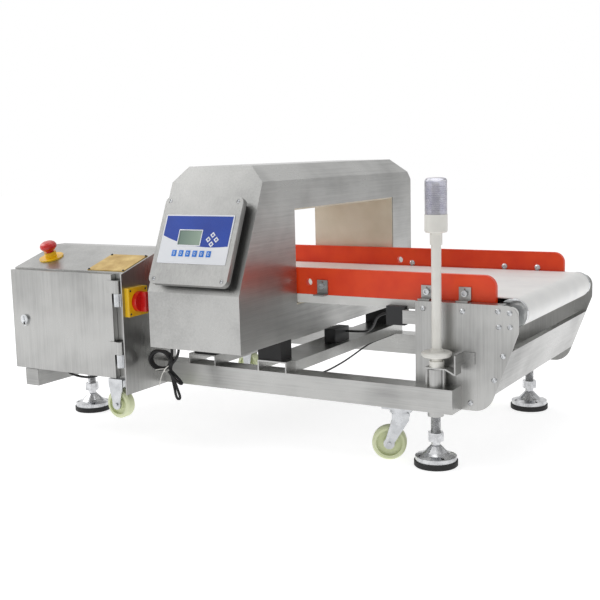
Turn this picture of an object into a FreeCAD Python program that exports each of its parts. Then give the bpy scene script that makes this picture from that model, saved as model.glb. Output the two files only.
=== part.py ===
import FreeCAD, Part

import math
import os

import Sketcher
from FreeCAD import Placement, Rotation, Vector

# A conveyor metal detector: a low belt conveyor that runs through an arch-shaped detector head.
# Frame: +X along the belt, +Y away from the operator, +Z up. The origin is on the floor, under the
# middle of the head's aperture. Millimetres throughout.

doc = FreeCAD.newDocument("ConveyorMetalDetector")
sheet = doc.addObject("Spreadsheet::Sheet", "Sizes")


class Size:
    """A length that carries its number and the sheet expression it is worked out with."""

    def __init__(self, value, text):
        self.value = value
        self.text = text

    def __add__(self, other):
        return combine(self, other, "+", self.value + size(other).value)

    def __radd__(self, other):
        return combine(other, self, "+", size(other).value + self.value)

    def __sub__(self, other):
        return combine(self, other, "-", self.value - size(other).value)

    def __rsub__(self, other):
        return combine(other, self, "-", size(other).value - self.value)

    def __mul__(self, other):
        return combine(self, other, "*", self.value * size(other).value)

    def __rmul__(self, other):
        return combine(other, self, "*", size(other).value * self.value)

    def __truediv__(self, other):
        return combine(self, other, "/", self.value / size(other).value)

    def __neg__(self):
        return Size(-self.value, f"(-1 * {self.text})")


def size(item):
    return item if isinstance(item, Size) else Size(float(item), repr(item))


def tangent(angle):
    return Size(math.tan(math.radians(angle.value)), f"tan({angle.text} * 1deg)")


def slope_of(rise, run):
    """The angle in degrees of a slope."""
    return Size(math.degrees(math.atan2(rise.value, run.value)), f"(atan({rise.text} / {run.text}) / 1deg)")


def combine(left, right, sign, value):
    return Size(value, f"({size(left).text} {sign} {size(right).text})")


def cell(alias, value):
    """Writes one driving dimension to the sheet and returns it as a Size."""
    cell.row += 1
    sheet.set(f"A{cell.row}", alias)
    sheet.set(f"B{cell.row}", str(value))
    sheet.setAlias(f"B{cell.row}", alias)
    return Size(float(value), f"Sizes.{alias}")


cell.row = 0

# ---------------------------------------------------------------- driving dimensions

GAP = cell("running_gap", 0.3)
SHEET = cell("sheet_thickness", 3)
THIN = cell("thin_sheet", 2)

# frame
TUBE = cell("beam_tube", 50)
TUBE_WALL = cell("beam_wall", 2)
BEAM_BOTTOM = cell("beam_bottom", 116)
FRONT_BEAM_Y = cell("front_beam_y", -325)
REAR_BEAM_Y = cell("rear_beam_y", 200)
BEAM_RIGHT = cell("beam_right_end", 516)
CROSS_TUBE_X = cell("cross_tube_x", 440)
SMALL_TUBE = cell("small_tube", 40)
SMALL_TUBE_BOTTOM = cell("small_tube_bottom", 107)
SMALL_TUBE_X = cell("small_tube_x", -520)

# levelling feet
FOOT_PAD_D = cell("foot_pad_diameter", 90)
FOOT_PAD_RISE = cell("foot_pad_height", 12)
FOOT_PLATE_D = cell("foot_plate_diameter", 85)
FOOT_PLATE_RISE = cell("foot_plate_height", 9)
FOOT_BELL_D = cell("foot_bell_diameter", 58)
FOOT_BELL_TOP = cell("foot_bell_top", 44)
ANCHOR_PCD = cell("anchor_pitch_circle", 72)
ANCHOR_D = cell("anchor_hole_diameter", 7)
FOOT_NECK_D = cell("foot_neck_diameter", 19)
SPINDLE_D = cell("spindle_diameter", 20)
HEX_WIDTH = cell("hexagon_across_flats", 30)
HEX_BOTTOM = cell("hexagon_bottom", 52)
HEX_RISE = cell("hexagon_height", 18)
SLEEVE_D = cell("sleeve_diameter", 33)
SLEEVE_DROP = cell("sleeve_below_beam", 12)
SLEEVE_SHORT = cell("left_sleeve_below_tube", 5)
SLEEVE_TALL = cell("front_sleeve_above_beam", 36)
FRONT_FOOT_X = cell("front_foot_x", 470)
REAR_FOOT_X = cell("rear_foot_x", 496)
LEFT_FOOT_Y = cell("left_front_foot_y", -253)

# conveyor
BELT_TOP = cell("belt_top", 343)
BELT_WIDTH = cell("belt_width", 452)
BELT = cell("belt_thickness", 2)
DRUM_X = cell("drum_axis_x", 609)
DRUM_D = cell("drum_diameter", 56)
DRUM_FLANGE = cell("drum_flange_width", 8)
DRUM_SHAFT_D = cell("drum_shaft_diameter", 20)
BED = cell("bed_thickness", 12)
BED_END_X = cell("bed_end_x", 572)
RAIL_WIDTH = cell("bed_rail_width", 15)
RAIL_TOP = cell("bed_rail_top", 330)
RAIL_BOTTOM = cell("bed_rail_bottom", 311)
RETURN_RISE = cell("return_gap_over_rail_bottom", 3)
RETURN_BAR_D = cell("return_bar_diameter", 30)
RETURN_BAR_X = cell("return_bar_x", 530)
STAY = cell("bed_stay_tube", 30)
STAY_X = cell("bed_stay_x", 425)

# side plates and aprons
PLATE_Y = cell("plate_outer_y", 275)
PLATE_LEFT = cell("plate_inner_end_x", 415)
PLATE_TOP = cell("plate_top", 334)
PLATE_BOTTOM = cell("plate_bottom", 116)
PLATE_NOSE_X = cell("plate_nose_x", 634)
PLATE_NOSE_TOP = cell("plate_nose_top", 306)
PLATE_NOSE_BOTTOM = cell("plate_nose_bottom", 280)
PLATE_HEEL_X = cell("plate_heel_x", 572)
PLATE_HEEL_R = cell("plate_heel_radius", 42)
PLATE_NOSE_R = cell("plate_nose_radius", 26)
PLATE_LIP = cell("plate_lip_width", 29)
APRON_TOP = cell("apron_top", 243)
APRON_BOTTOM = cell("apron_bottom", 154)
APRON_LIP = cell("apron_lip", 14)

# guides
GUIDE = cell("guide_thickness", 12)
GUIDE_INNER_Y = cell("guide_inner_y", 231)
GUIDE_END_X = cell("guide_end_x", 576)
GUIDE_TOP = cell("guide_top", 388)
GUIDE_R = cell("guide_corner_radius", 25)
GUIDE_EYE_X = cell("guide_eye_x", 146)
GUIDE_EYE_Z = cell("guide_eye_z", 357)
GUIDE_EYE_D = cell("guide_eye_diameter", 16)
BRACKET_WIDTH = cell("bracket_width", 26)
BRACKET_RISE = cell("bracket_height", 33)
BRACKET_FOOT = cell("bracket_foot", 22)
BRACKET_X1 = cell("bracket_x_inner", 181)
BRACKET_X2 = cell("bracket_x_middle", 429)
BRACKET_X3 = cell("bracket_x_outer", 512)
BOLT_Z = cell("guide_bolt_z", 350)

# detector head
HEAD_X = cell("head_half_depth", 117.5)
HEAD_FRONT = cell("head_front_y", -478)
HEAD_BACK = cell("head_back_y", 364)
HEAD_BOTTOM = cell("head_bottom", 233)
HEAD_BEND = cell("head_bend_z", 354)
HEAD_TOP = cell("head_top", 616)
HEAD_SLOPE = cell("head_slope_degrees", 66)
HEAD_CHAMFER_X = cell("head_chamfer_run", 36)
HEAD_CHAMFER_Z = cell("head_chamfer_rise", 34)
HEAD_REAR_CHAMFER = cell("head_rear_chamfer", 54)
APERTURE_Y = cell("aperture_half_width", 250)
APERTURE_BOTTOM = cell("aperture_bottom", 305)
APERTURE_TOP = cell("aperture_top", 519)
LINER = cell("liner_thickness", 3.5)
CHANNEL_X = cell("channel_axis_x", 94)
CHANNEL_WIDTH = cell("channel_width", 74)
CHANNEL_RISE = cell("channel_height", 24)
BLOCK_LENGTH = cell("isolation_block_length", 60)
BLOCK_DEPTH = cell("isolation_block_depth", 44)
SENSOR_RAIL = cell("sensor_rail_width", 12)

# control enclosure on the slope
ENCLOSURE_MID = cell("enclosure_centre_along_slope", 109)
LID_WIDTH = cell("lid_width", 200)
LID_LENGTH = cell("lid_length", 195)
LID_THICK = cell("lid_thickness", 14)
LID_R = cell("lid_corner_radius", 14)
ENCLOSURE_INSET = cell("enclosure_inset", 8)
ENCLOSURE_DEPTH = cell("enclosure_depth", 14)
LID_SCREW = cell("lid_screw_offset", 87)
KEYPAD_WIDTH = cell("keypad_width", 176)
KEYPAD_LENGTH = cell("keypad_length", 108)
KEYPAD_UP = cell("keypad_centre_up", 2)
KEYPAD = cell("keypad_thickness", 1)
DISPLAY_WIDTH = cell("display_width", 57)
DISPLAY_LENGTH = cell("display_length", 32)
DISPLAY_X = cell("display_x", -15)
DISPLAY_UP = cell("display_up", 5)

# electrical cabinet
CAB_LEFT = cell("cabinet_left_x", -541)
CAB_RIGHT = cell("cabinet_right_x", -204)
CAB_FRONT = cell("cabinet_front_y", -449)
CAB_BACK = cell("cabinet_back_y", -278.5)
CAB_BOTTOM = cell("cabinet_bottom", 147)
CAB_SHOULDER = cell("cabinet_shoulder_z", 388)
CAB_RIDGE_Y = cell("cabinet_ridge_y", -310)
CAB_TOP = cell("cabinet_top", 430)
CAB_RIM = cell("cabinet_rim", 18)
DOOR_RIGHT = cell("door_right_x", -232)
DOOR_BOTTOM = cell("door_bottom", 150)
DOOR_TOP = cell("door_top", 384)
DOOR_DEPTH = cell("door_depth", 14)
HINGE_X = cell("hinge_x", -218)
HINGE_D = cell("hinge_diameter", 16)
HINGE_Z = cell("upper_hinge_z", 342)
HINGE_PITCH = cell("hinge_pitch", 138)
KNUCKLE = cell("knuckle_length", 29)
SKIRT_BOTTOM = cell("skirt_bottom", 113)
LOCK_X = cell("lock_x", -502)
LOCK_Z = cell("lock_z", 268)
LOCK_D = cell("lock_diameter", 22)
STOP_X = cell("stop_x", -480)
STOP_UP = cell("stop_up_slope", 62)
STOP_PLATE_D = cell("stop_plate_diameter", 58)
STOP_PLATE = cell("stop_plate_thickness", 3)
STOP_NECK_D = cell("stop_neck_diameter", 28)
STOP_NECK_RISE = cell("stop_neck_height", 13)
STOP_CAP_D = cell("stop_cap_diameter", 40)
STOP_CAP_RISE = cell("stop_cap_height", 20)
STOP_TRAVEL = cell("stop_travel", 5)
ISOLATOR = cell("isolator_plate_side", 64)
ISOLATOR_DEPTH = cell("isolator_plate_depth", 12)
ISOLATOR_Y = cell("isolator_y", -422)
ISOLATOR_Z = cell("isolator_z", 321)
ISOLATOR_KNOB_D = cell("isolator_knob_diameter", 46)
ISOLATOR_KNOB_RISE = cell("isolator_knob_height", 26)

# wheels
WHEEL_D = cell("caster_wheel_diameter", 72)
WHEEL_WIDTH = cell("wheel_width", 24)
WHEEL_CLEAR = cell("wheel_above_floor", 3)
AXLE_D = cell("axle_diameter", 8)
CASTER_X = cell("caster_x", 392)
CASTER_TRAIL = cell("caster_trail", 24)
CASTER_PLATE = cell("caster_plate_thickness", 4)
CASTER_PLATE_LENGTH = cell("caster_plate_length", 66)
CASTER_PLATE_WIDTH = cell("caster_plate_width", 48)
RACE_D = cell("caster_race_diameter", 46)
RACE_RISE = cell("caster_race_height", 8)
FORK_SHEET = cell("fork_sheet", 3)
FORK_GAP = cell("fork_gap", 2)
SMALL_WHEEL_D = cell("fixed_wheel_diameter", 65)
SMALL_WHEEL_X = cell("fixed_wheel_x", -237)
SMALL_WHEEL_Z = cell("fixed_wheel_axis_z", 88)
REAR_WHEEL_X = cell("rear_fixed_wheel_x", -330)

# signal tower
TOWER_X = cell("tower_x", 476)
TOWER_Y = cell("tower_y", -307.5)
TOWER_POLE_D = cell("tower_pole_diameter", 20)
TOWER_POLE_BOTTOM = cell("tower_pole_bottom", 226)
TOWER_DISC_D = cell("tower_disc_diameter", 62)
TOWER_DISC_RISE = cell("tower_disc_height", 10)
TOWER_SOCKET_Z = cell("tower_socket_bottom", 454)
TOWER_SOCKET_D = cell("tower_socket_diameter", 25)
TOWER_SOCKET_RISE = cell("tower_socket_height", 24)
TOWER_BASE_D = cell("tower_base_diameter", 46)
TOWER_BASE_RISE = cell("tower_base_height", 33)
TOWER_LENS_D = cell("tower_lens_diameter", 44)
TOWER_LENS_RISE = cell("tower_lens_height", 72)
TOWER_LENS_WALL = cell("tower_lens_wall", 2)

doc.recompute()

# dependent levels that several pieces share
BEAM_TOP = BEAM_BOTTOM + TUBE
FRONT_BEAM_MID = FRONT_BEAM_Y + TUBE / 2
REAR_BEAM_MID = REAR_BEAM_Y + TUBE / 2
SMALL_TUBE_MID = SMALL_TUBE_X + SMALL_TUBE / 2
SMALL_TUBE_TOP = SMALL_TUBE_BOTTOM + SMALL_TUBE
PLATE_INNER = PLATE_Y - SHEET
DRUM_Z = BELT_TOP - BELT - DRUM_D / 2
BED_TOP = BELT_TOP - BELT
GUIDE_OUTER_Y = GUIDE_INNER_Y + GUIDE
CHANNEL_TOP = BEAM_TOP + CHANNEL_RISE
HEAD_RIDGE_Y = HEAD_FRONT + (HEAD_TOP - HEAD_BEND) / tangent(HEAD_SLOPE)
CAB_SLOPE = slope_of(CAB_TOP - CAB_SHOULDER, CAB_RIDGE_Y - CAB_FRONT)
DOOR_BACK = CAB_FRONT - 1
DOOR_FRONT = DOOR_BACK - DOOR_DEPTH
HINGE_Y = DOOR_BACK - DOOR_DEPTH / 2 - 5

# ---------------------------------------------------------------- modelling helpers


def bind(item, prop, length):
    item.setExpression(prop, size(length).text)


def place(item, x=0, y=0, z=0, rotation=None):
    """Puts a sub-part at a point worked out from the sheet."""
    if rotation is not None:
        item.Placement.Rotation = rotation
    bind(item, "Placement.Base.x", x)
    bind(item, "Placement.Base.y", y)
    bind(item, "Placement.Base.z", z)
    return item


def new(kind, name):
    return doc.addObject(kind, name)


def new_body(label):
    body = new("PartDesign::Body", label)
    body.Label = label
    return body


def sketch(body, plane, offset=0):
    """An empty sketch on one of the body's own planes, moved along the plane's normal."""
    item = body.newObject("Sketcher::SketchObject", "Sketch")
    for feature in body.Origin.OriginFeatures:
        if feature.Role == plane:
            item.AttachmentSupport = (feature, "")
    item.MapMode = "FlatFace"
    bind(item, "AttachmentOffset.Base.z", offset)
    return item


def pin_point(item, geometry, position, x, y):
    """Fixes a sketch point at distances from the sketch's origin taken from the sheet."""
    for kind, length in (("DistanceX", size(x)), ("DistanceY", size(y))):
        index = item.addConstraint(Sketcher.Constraint(kind, -1, 1, geometry, position, length.value))
        item.setExpression(f"Constraints[{index}]", length.text)


def outline(item, points):
    """A closed outline of straight edges through the points."""
    first = item.GeometryCount
    count = len(points)
    corners = [Vector(size(x).value, size(y).value, 0) for x, y in points]
    for index in range(count):
        item.addGeometry(Part.LineSegment(corners[index], corners[(index + 1) % count]), False)
    for index in range(count):
        following = first + (index + 1) % count
        item.addConstraint(Sketcher.Constraint("Coincident", first + index, 2, following, 1))
    for index, (x, y) in enumerate(points):
        pin_point(item, first + index, 1, x, y)


def rectangle(item, x1, y1, x2, y2):
    outline(item, [(x1, y1), (x2, y1), (x2, y2), (x1, y2)])


def circle(item, x, y, diameter):
    centre = Vector(size(x).value, size(y).value, 0)
    index = item.addGeometry(Part.Circle(centre, Vector(0, 0, 1), size(diameter).value / 2), False)
    pin_point(item, index, 3, x, y)
    constraint = item.addConstraint(Sketcher.Constraint("Diameter", index, size(diameter).value))
    item.setExpression(f"Constraints[{constraint}]", size(diameter).text)


def pad(body, profile, length, reverse=False, both_ways=False):
    feature = body.newObject("PartDesign::Pad", "Pad")
    feature.Profile = profile
    bind(feature, "Length", length)
    feature.Reversed = reverse
    if both_ways:
        feature.SideType = "Symmetric"
    profile.Visibility = False
    return feature


def pocket(body, profile, length=None, reverse=False, both_ways=False):
    """Cuts a profile to a depth, or right through both ways when no depth is given."""
    feature = body.newObject("PartDesign::Pocket", "Pocket")
    feature.Profile = profile
    if length is None:
        feature.Type = "ThroughAll"
        feature.SideType = "Symmetric"
        return feature
    bind(feature, "Length", length)
    feature.Reversed = reverse
    if both_ways:
        feature.SideType = "Symmetric"
    return feature


def revolve(body, profile, axis="V_Axis"):
    feature = body.newObject("PartDesign::Revolution", "Revolution")
    feature.Profile = profile
    feature.ReferenceAxis = (profile, [axis])
    feature.Angle = 360
    return feature


def edges_near(shape, points, axis, reach=0.6):
    """Names of the straight edges along an axis that pass the given points of the cross section."""
    found = []
    for index, edge in enumerate(shape.Edges):
        if len(edge.Vertexes) != 2:
            continue
        along = edge.Vertexes[1].Point - edge.Vertexes[0].Point
        if along.Length < 1e-6 or abs(along.normalize().dot(axis)) < 0.999:
            continue
        middle = (edge.Vertexes[0].Point + edge.Vertexes[1].Point) * 0.5
        for point in points:
            offset = middle - point
            if (offset - axis * offset.dot(axis)).Length < reach:
                found.append(f"Edge{index + 1}")
    return found


def fillet(body, points, axis, radius):
    """Rounds the edges of the body's tip that run along an axis past the given points."""
    doc.recompute()
    base = body.Tip
    shape = base.Shape
    names = edges_near(shape, points, axis)
    feature = body.newObject("PartDesign::Fillet", "Fillet")
    feature.Base = (base, names)
    bind(feature, "Radius", radius)
    return feature


def mirrored(source, normal):
    """The same piece on the other side of a plane through the origin."""
    item = new("Part::Mirroring", source.Name + "_mirror")
    item.Source = source
    item.Base = Vector(0, 0, 0)
    item.Normal = normal
    return item


def tilt(item, angle, x, y, z):
    """Lays a sub-part on a plane that rises towards +Y at an angle, with its own Z square to the plane."""
    item.Placement.Rotation = Rotation(X_AXIS, angle.value)
    bind(item, "Placement.Rotation.Angle", angle)
    return place(item, x, y, z)


def at(x, y, z):
    return Vector(size(x).value, size(y).value, size(z).value)


X_AXIS = Vector(1, 0, 0)
Y_AXIS = Vector(0, 1, 0)
Z_AXIS = Vector(0, 0, 1)


def prism_x(label, x, length, points):
    """A body whose outline in Y and Z is extruded along +X."""
    body = new_body(label)
    profile = sketch(body, "YZ_Plane", x)
    outline(profile, points)
    pad(body, profile, length)
    return body


def prism_y(label, y, length, points):
    """A body whose outline in X and Z is extruded along +Y."""
    body = new_body(label)
    profile = sketch(body, "XZ_Plane", -size(y))
    outline(profile, points)
    pad(body, profile, length, reverse=True)
    return body


def prism_z(label, z, length, points):
    """A body whose outline in X and Y is extruded along +Z."""
    body = new_body(label)
    profile = sketch(body, "XY_Plane", z)
    outline(profile, points)
    pad(body, profile, length)
    return body


def box(name, x, y, z, length, width, height):
    item = new("Part::Box", name)
    bind(item, "Length", length)
    bind(item, "Width", width)
    bind(item, "Height", height)
    return place(item, x, y, z)


ALONG_X = Rotation(Y_AXIS, 90)
ALONG_Y = Rotation(X_AXIS, -90)
ALONG_Z = Rotation()


def cylinder(name, x, y, z, diameter, height, rotation=ALONG_Z):
    """A round bar that starts at the point and runs along +Z, or along +X or +Y when turned."""
    item = new("Part::Cylinder", name)
    bind(item, "Radius", size(diameter) / 2)
    bind(item, "Height", height)
    return place(item, x, y, z, rotation)


def cut(name, base, tools):
    tool = tools[0] if len(tools) == 1 else fuse(name + "_tools", tools)
    item = new("Part::Cut", name)
    item.Base = base
    item.Tool = tool
    return item


def fuse(name, pieces):
    item = new("Part::MultiFuse", name)
    item.Shapes = pieces
    return item


def group(label, pieces):
    """Separate solids that share one node."""
    item = new("Part::Compound", label)
    item.Links = pieces
    item.Label = label
    return item


def label(item, name):
    item.Label = name
    return item


def screw(name, x, y, z, direction, thread, length, head, head_rise):
    """A button-head screw: its head stands on the point and its thread runs the other way."""
    turn = {"+x": Rotation(Y_AXIS, 90), "-x": Rotation(Y_AXIS, -90), "+y": Rotation(X_AXIS, -90),
            "-y": Rotation(X_AXIS, 90), "+z": Rotation(), "-z": Rotation(X_AXIS, 180)}[direction]
    dome = new("Part::Feature", name)
    radius = head / 2
    profile = Part.Wire(Part.makePolygon([
        Vector(0, 0, -length), Vector(thread / 2, 0, -length), Vector(thread / 2, 0, 0), Vector(radius, 0, 0),
        Vector(radius, 0, head_rise * 0.4), Vector(radius * 0.62, 0, head_rise),
        Vector(radius * 0.35, 0, head_rise), Vector(radius * 0.35, 0, head_rise * 0.4),
        Vector(0, 0, head_rise * 0.4), Vector(0, 0, -length)]))
    dome.Shape = Part.Face(profile).revolve(Vector(0, 0, 0), Z_AXIS, 360)
    return place(dome, x, y, z, turn)


# ---------------------------------------------------------------- base frame


def square_tube(label_text, x, y, z, length, side, along):
    """A straight square tube, open along its whole length."""
    body = new_body(label_text)
    profile = sketch(body, "YZ_Plane" if along == "x" else "XZ_Plane", 0)
    wall = TUBE_WALL
    rectangle(profile, 0, 0, side, side)
    rectangle(profile, wall, wall, side - wall, side - wall)
    pad(body, profile, length, reverse=along == "y")
    return place(body, x, y, z)


def sleeve_hole(name, base, x, y, z, rise):
    return cut(name, base, [cylinder(name + "_bore", x, y, z - 1, SLEEVE_D + GAP, rise + 2)])


front_tube = square_tube("front_tube", CAB_RIGHT + GAP, FRONT_BEAM_Y, BEAM_BOTTOM,
                         BEAM_RIGHT - TUBE_WALL - CAB_RIGHT - GAP, TUBE, "x")
front_cap = box("front_cap", BEAM_RIGHT - TUBE_WALL, FRONT_BEAM_Y, BEAM_BOTTOM, TUBE_WALL, TUBE, TUBE)
front_welded = fuse("front_welded", [front_tube, front_cap])
front_beam = label(sleeve_hole("front_beam", front_welded, FRONT_FOOT_X, FRONT_BEAM_MID, BEAM_BOTTOM, TUBE),
                   "front_beam")

rear_tube = square_tube("rear_tube", SMALL_TUBE_X + SMALL_TUBE, REAR_BEAM_Y, BEAM_BOTTOM,
                        BEAM_RIGHT - SMALL_TUBE_X - SMALL_TUBE, TUBE, "x")
rear_beam = label(sleeve_hole("rear_beam", rear_tube, REAR_FOOT_X, REAR_BEAM_MID, BEAM_BOTTOM, TUBE), "rear_beam")

right_cross = square_tube("right_cross", CROSS_TUBE_X, -PLATE_INNER, BEAM_BOTTOM, REAR_BEAM_Y + PLATE_INNER,
                          TUBE, "y")
LEFT_CROSS_Y = CAB_FRONT - 6
left_cross_tube = square_tube("left_cross_tube", SMALL_TUBE_X, LEFT_CROSS_Y, SMALL_TUBE_BOTTOM,
                              REAR_BEAM_Y + TUBE - LEFT_CROSS_Y, SMALL_TUBE, "y")
left_front_hole = sleeve_hole("left_front_hole", left_cross_tube, SMALL_TUBE_MID, LEFT_FOOT_Y, SMALL_TUBE_BOTTOM,
                              SMALL_TUBE)
left_cross = sleeve_hole("left_cross", left_front_hole, SMALL_TUBE_MID, REAR_BEAM_MID, SMALL_TUBE_BOTTOM,
                         SMALL_TUBE)
SPACER_DEPTH = PLATE_INNER - REAR_BEAM_Y - TUBE
spacer_right = box("spacer_right", CROSS_TUBE_X, REAR_BEAM_Y + TUBE, BEAM_BOTTOM, TUBE, SPACER_DEPTH, TUBE)
spacer_left = box("spacer_left", -CROSS_TUBE_X - TUBE * 0.7, REAR_BEAM_Y + TUBE, BEAM_BOTTOM, TUBE, SPACER_DEPTH,
                  TUBE)
group("cross_tubes", [right_cross, left_cross, spacer_right, spacer_left])


def sleeve(name, x, y, bottom, top):
    """A boss welded into a tube, bored for a foot spindle."""
    outer = cylinder(name + "_outer", x, y, bottom, SLEEVE_D, top - bottom)
    bore = cylinder(name + "_bore", x, y, bottom - 1, SPINDLE_D + 0.2, top - bottom + 2)
    return cut(name, outer, [bore])


SHELL_D = SLEEVE_D + 9
front_sleeve = sleeve("front_sleeve", FRONT_FOOT_X, FRONT_BEAM_MID, BEAM_BOTTOM - SLEEVE_DROP,
                      BEAM_TOP + SLEEVE_TALL)
shell_outer = cylinder("shell_outer", FRONT_FOOT_X, FRONT_BEAM_MID, BEAM_TOP, SHELL_D, SLEEVE_TALL)
shell_inner = cylinder("shell_inner", FRONT_FOOT_X, FRONT_BEAM_MID, BEAM_TOP - 1, SLEEVE_D + 1, SLEEVE_TALL + 2)
shell_mouth = box("shell_mouth", FRONT_FOOT_X - SHELL_D / 2, FRONT_BEAM_MID - SHELL_D, BEAM_TOP - 1, SHELL_D,
                  SHELL_D - 4, SLEEVE_TALL + 2)
shell = cut("shell", shell_outer, [shell_inner, shell_mouth])
rear_sleeve = sleeve("rear_sleeve", REAR_FOOT_X, REAR_BEAM_MID, BEAM_BOTTOM - SLEEVE_DROP, BEAM_TOP + 4)
left_front_sleeve = sleeve("left_front_sleeve", SMALL_TUBE_MID, LEFT_FOOT_Y, SMALL_TUBE_BOTTOM - SLEEVE_SHORT,
                           SMALL_TUBE_TOP + 4)
left_rear_sleeve = sleeve("left_rear_sleeve", SMALL_TUBE_MID, REAR_BEAM_MID, SMALL_TUBE_BOTTOM - SLEEVE_SHORT,
                          SMALL_TUBE_TOP + 4)
group("foot_sleeves", [front_sleeve, shell, rear_sleeve, left_front_sleeve, left_rear_sleeve])

# ---------------------------------------------------------------- levelling feet


def anchor_holes(body, bottom, rise):
    """Four holes on one circle for the bolts that hold a foot to the floor."""
    holes = sketch(body, "XY_Plane", bottom)
    for index in range(4):
        turn = math.radians(45 + 90 * index)
        circle(holes, ANCHOR_PCD / 2 * round(math.cos(turn), 9), ANCHOR_PCD / 2 * round(math.sin(turn), 9), ANCHOR_D)
    pocket(body, holes, rise, reverse=True)


def foot(where, x, y, top):
    """A turned spindle with a bell-shaped flange and a hexagon, and the rubber pad it stands on."""
    pad_body = new_body(f"foot_pad_{where}")
    profile = sketch(pad_body, "XZ_Plane")
    radius = FOOT_PAD_D / 2
    outline(profile, [(0, 0), (radius - 2, 0), (radius, 2), (radius, FOOT_PAD_RISE), (0, FOOT_PAD_RISE)])
    revolve(pad_body, profile)
    anchor_holes(pad_body, 0, FOOT_PAD_RISE)
    place(pad_body, x, y, 0)

    spindle = new_body(f"foot_spindle_{where}")
    profile = sketch(spindle, "XZ_Plane")
    plate_top = FOOT_PAD_RISE + FOOT_PLATE_RISE
    outline(profile, [(0, FOOT_PAD_RISE), (FOOT_PLATE_D / 2, FOOT_PAD_RISE), (FOOT_PLATE_D / 2, plate_top),
                      (FOOT_BELL_D / 2, plate_top + 4), (FOOT_BELL_D / 2 - 5, plate_top + 8),
                      (FOOT_NECK_D / 2, FOOT_BELL_TOP), (FOOT_NECK_D / 2, HEX_BOTTOM),
                      (SPINDLE_D / 2, HEX_BOTTOM), (SPINDLE_D / 2, top), (0, top)])
    revolve(spindle, profile)
    hexagon = sketch(spindle, "XY_Plane", HEX_BOTTOM)
    corner = HEX_WIDTH / 2 / tangent(size(60))
    half = HEX_WIDTH / 2
    outline(hexagon, [(corner, -half), (corner * 2, 0), (corner, half), (-corner, half), (corner * -2, 0),
                      (-corner, -half)])
    pad(spindle, hexagon, HEX_RISE)
    anchor_holes(spindle, FOOT_PAD_RISE, FOOT_PLATE_RISE + 8)
    place(spindle, x, y, 0)


foot("front_right", FRONT_FOOT_X, FRONT_BEAM_MID, BEAM_TOP - 2)
foot("rear_right", REAR_FOOT_X, REAR_BEAM_MID, BEAM_TOP - 8)
foot("front_left", SMALL_TUBE_MID, LEFT_FOOT_Y, SMALL_TUBE_TOP - 7)
foot("rear_left", SMALL_TUBE_MID, REAR_BEAM_MID, SMALL_TUBE_TOP - 7)

# ---------------------------------------------------------------- conveyor: side plates and aprons

PLATE_SCREWS = [(433, 319), (518, 318), (592, 322), (616, 320), (594, 291), (617, 292), (603, 233), (585, 183),
                (535, 132)]
PLATE_SCREW_D = size(6)

plate_outline = [(PLATE_LEFT, PLATE_TOP), (PLATE_NOSE_X, PLATE_TOP), (PLATE_NOSE_X, PLATE_NOSE_BOTTOM),
                 (PLATE_HEEL_X, PLATE_BOTTOM), (PLATE_LEFT, PLATE_BOTTOM)]
plate = prism_y("side_plate", -PLATE_Y, SHEET, plate_outline)
plate = fillet(plate, [at(PLATE_NOSE_X, 0, PLATE_TOP)], Y_AXIS, PLATE_NOSE_R).getParentGeoFeatureGroup()
fillet(plate, [at(PLATE_HEEL_X, 0, PLATE_BOTTOM)], Y_AXIS, PLATE_HEEL_R)
fillet(plate, [at(PLATE_NOSE_X, 0, PLATE_NOSE_BOTTOM)], Y_AXIS, 20)
lip = sketch(plate, "YZ_Plane", PLATE_LEFT)
rectangle(lip, -PLATE_INNER, PLATE_TOP - SHEET, -PLATE_Y + PLATE_LIP, PLATE_TOP)
pad(plate, lip, PLATE_NOSE_X - PLATE_NOSE_R - PLATE_LEFT - 8)
screw_holes = sketch(plate, "XZ_Plane", PLATE_Y)
for x, z in PLATE_SCREWS:
    circle(screw_holes, x, z, PLATE_SCREW_D + 0.2)
pocket(plate, screw_holes, SHEET * 4, both_ways=True)
plate_back = mirrored(plate, Y_AXIS)
group("side_plates_right", [plate, plate_back])
notch = box("tube_notch", SMALL_TUBE_X - GAP, -PLATE_Y - 1, PLATE_BOTTOM - 1, SMALL_TUBE + GAP * 2, SHEET + 2,
            SMALL_TUBE_TOP + GAP - PLATE_BOTTOM + 1)
notched_plate = cut("notched_plate", mirrored(plate, X_AXIS), [notch])
group("side_plates_left", [notched_plate, mirrored(plate_back, X_AXIS)])

APRON_TOP_X = PLATE_HEEL_X + (PLATE_NOSE_X - PLATE_HEEL_X) * (APRON_TOP - PLATE_BOTTOM) / (
    PLATE_NOSE_BOTTOM - PLATE_BOTTOM)
APRON_BOTTOM_X = PLATE_HEEL_X + (PLATE_NOSE_X - PLATE_HEEL_X) * (APRON_BOTTOM - PLATE_BOTTOM) / (
    PLATE_NOSE_BOTTOM - PLATE_BOTTOM)
APRON_WIDTH = (PLATE_INNER - GAP) * 2
apron = prism_y("apron", -PLATE_INNER + GAP, APRON_WIDTH, [
    (APRON_BOTTOM_X, APRON_BOTTOM), (APRON_TOP_X, APRON_TOP), (APRON_TOP_X - APRON_LIP, APRON_TOP),
    (APRON_TOP_X - APRON_LIP, APRON_TOP - THIN), (APRON_TOP_X - THIN * 1.5, APRON_TOP - THIN),
    (APRON_BOTTOM_X - THIN * 0.5, APRON_BOTTOM + THIN), (APRON_BOTTOM_X - APRON_LIP, APRON_BOTTOM + THIN),
    (APRON_BOTTOM_X - APRON_LIP, APRON_BOTTOM)])
for start in (-PLATE_INNER + GAP, PLATE_INNER - GAP - THIN):
    flange = sketch(apron, "XZ_Plane", -start)
    outline(flange, [(APRON_BOTTOM_X, APRON_BOTTOM), (APRON_TOP_X, APRON_TOP), (APRON_TOP_X - 26, APRON_TOP),
                     (APRON_BOTTOM_X - 26, APRON_BOTTOM)])
    pad(apron, flange, THIN, reverse=True)
apron_holes = sketch(apron, "XZ_Plane", 0)
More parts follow.
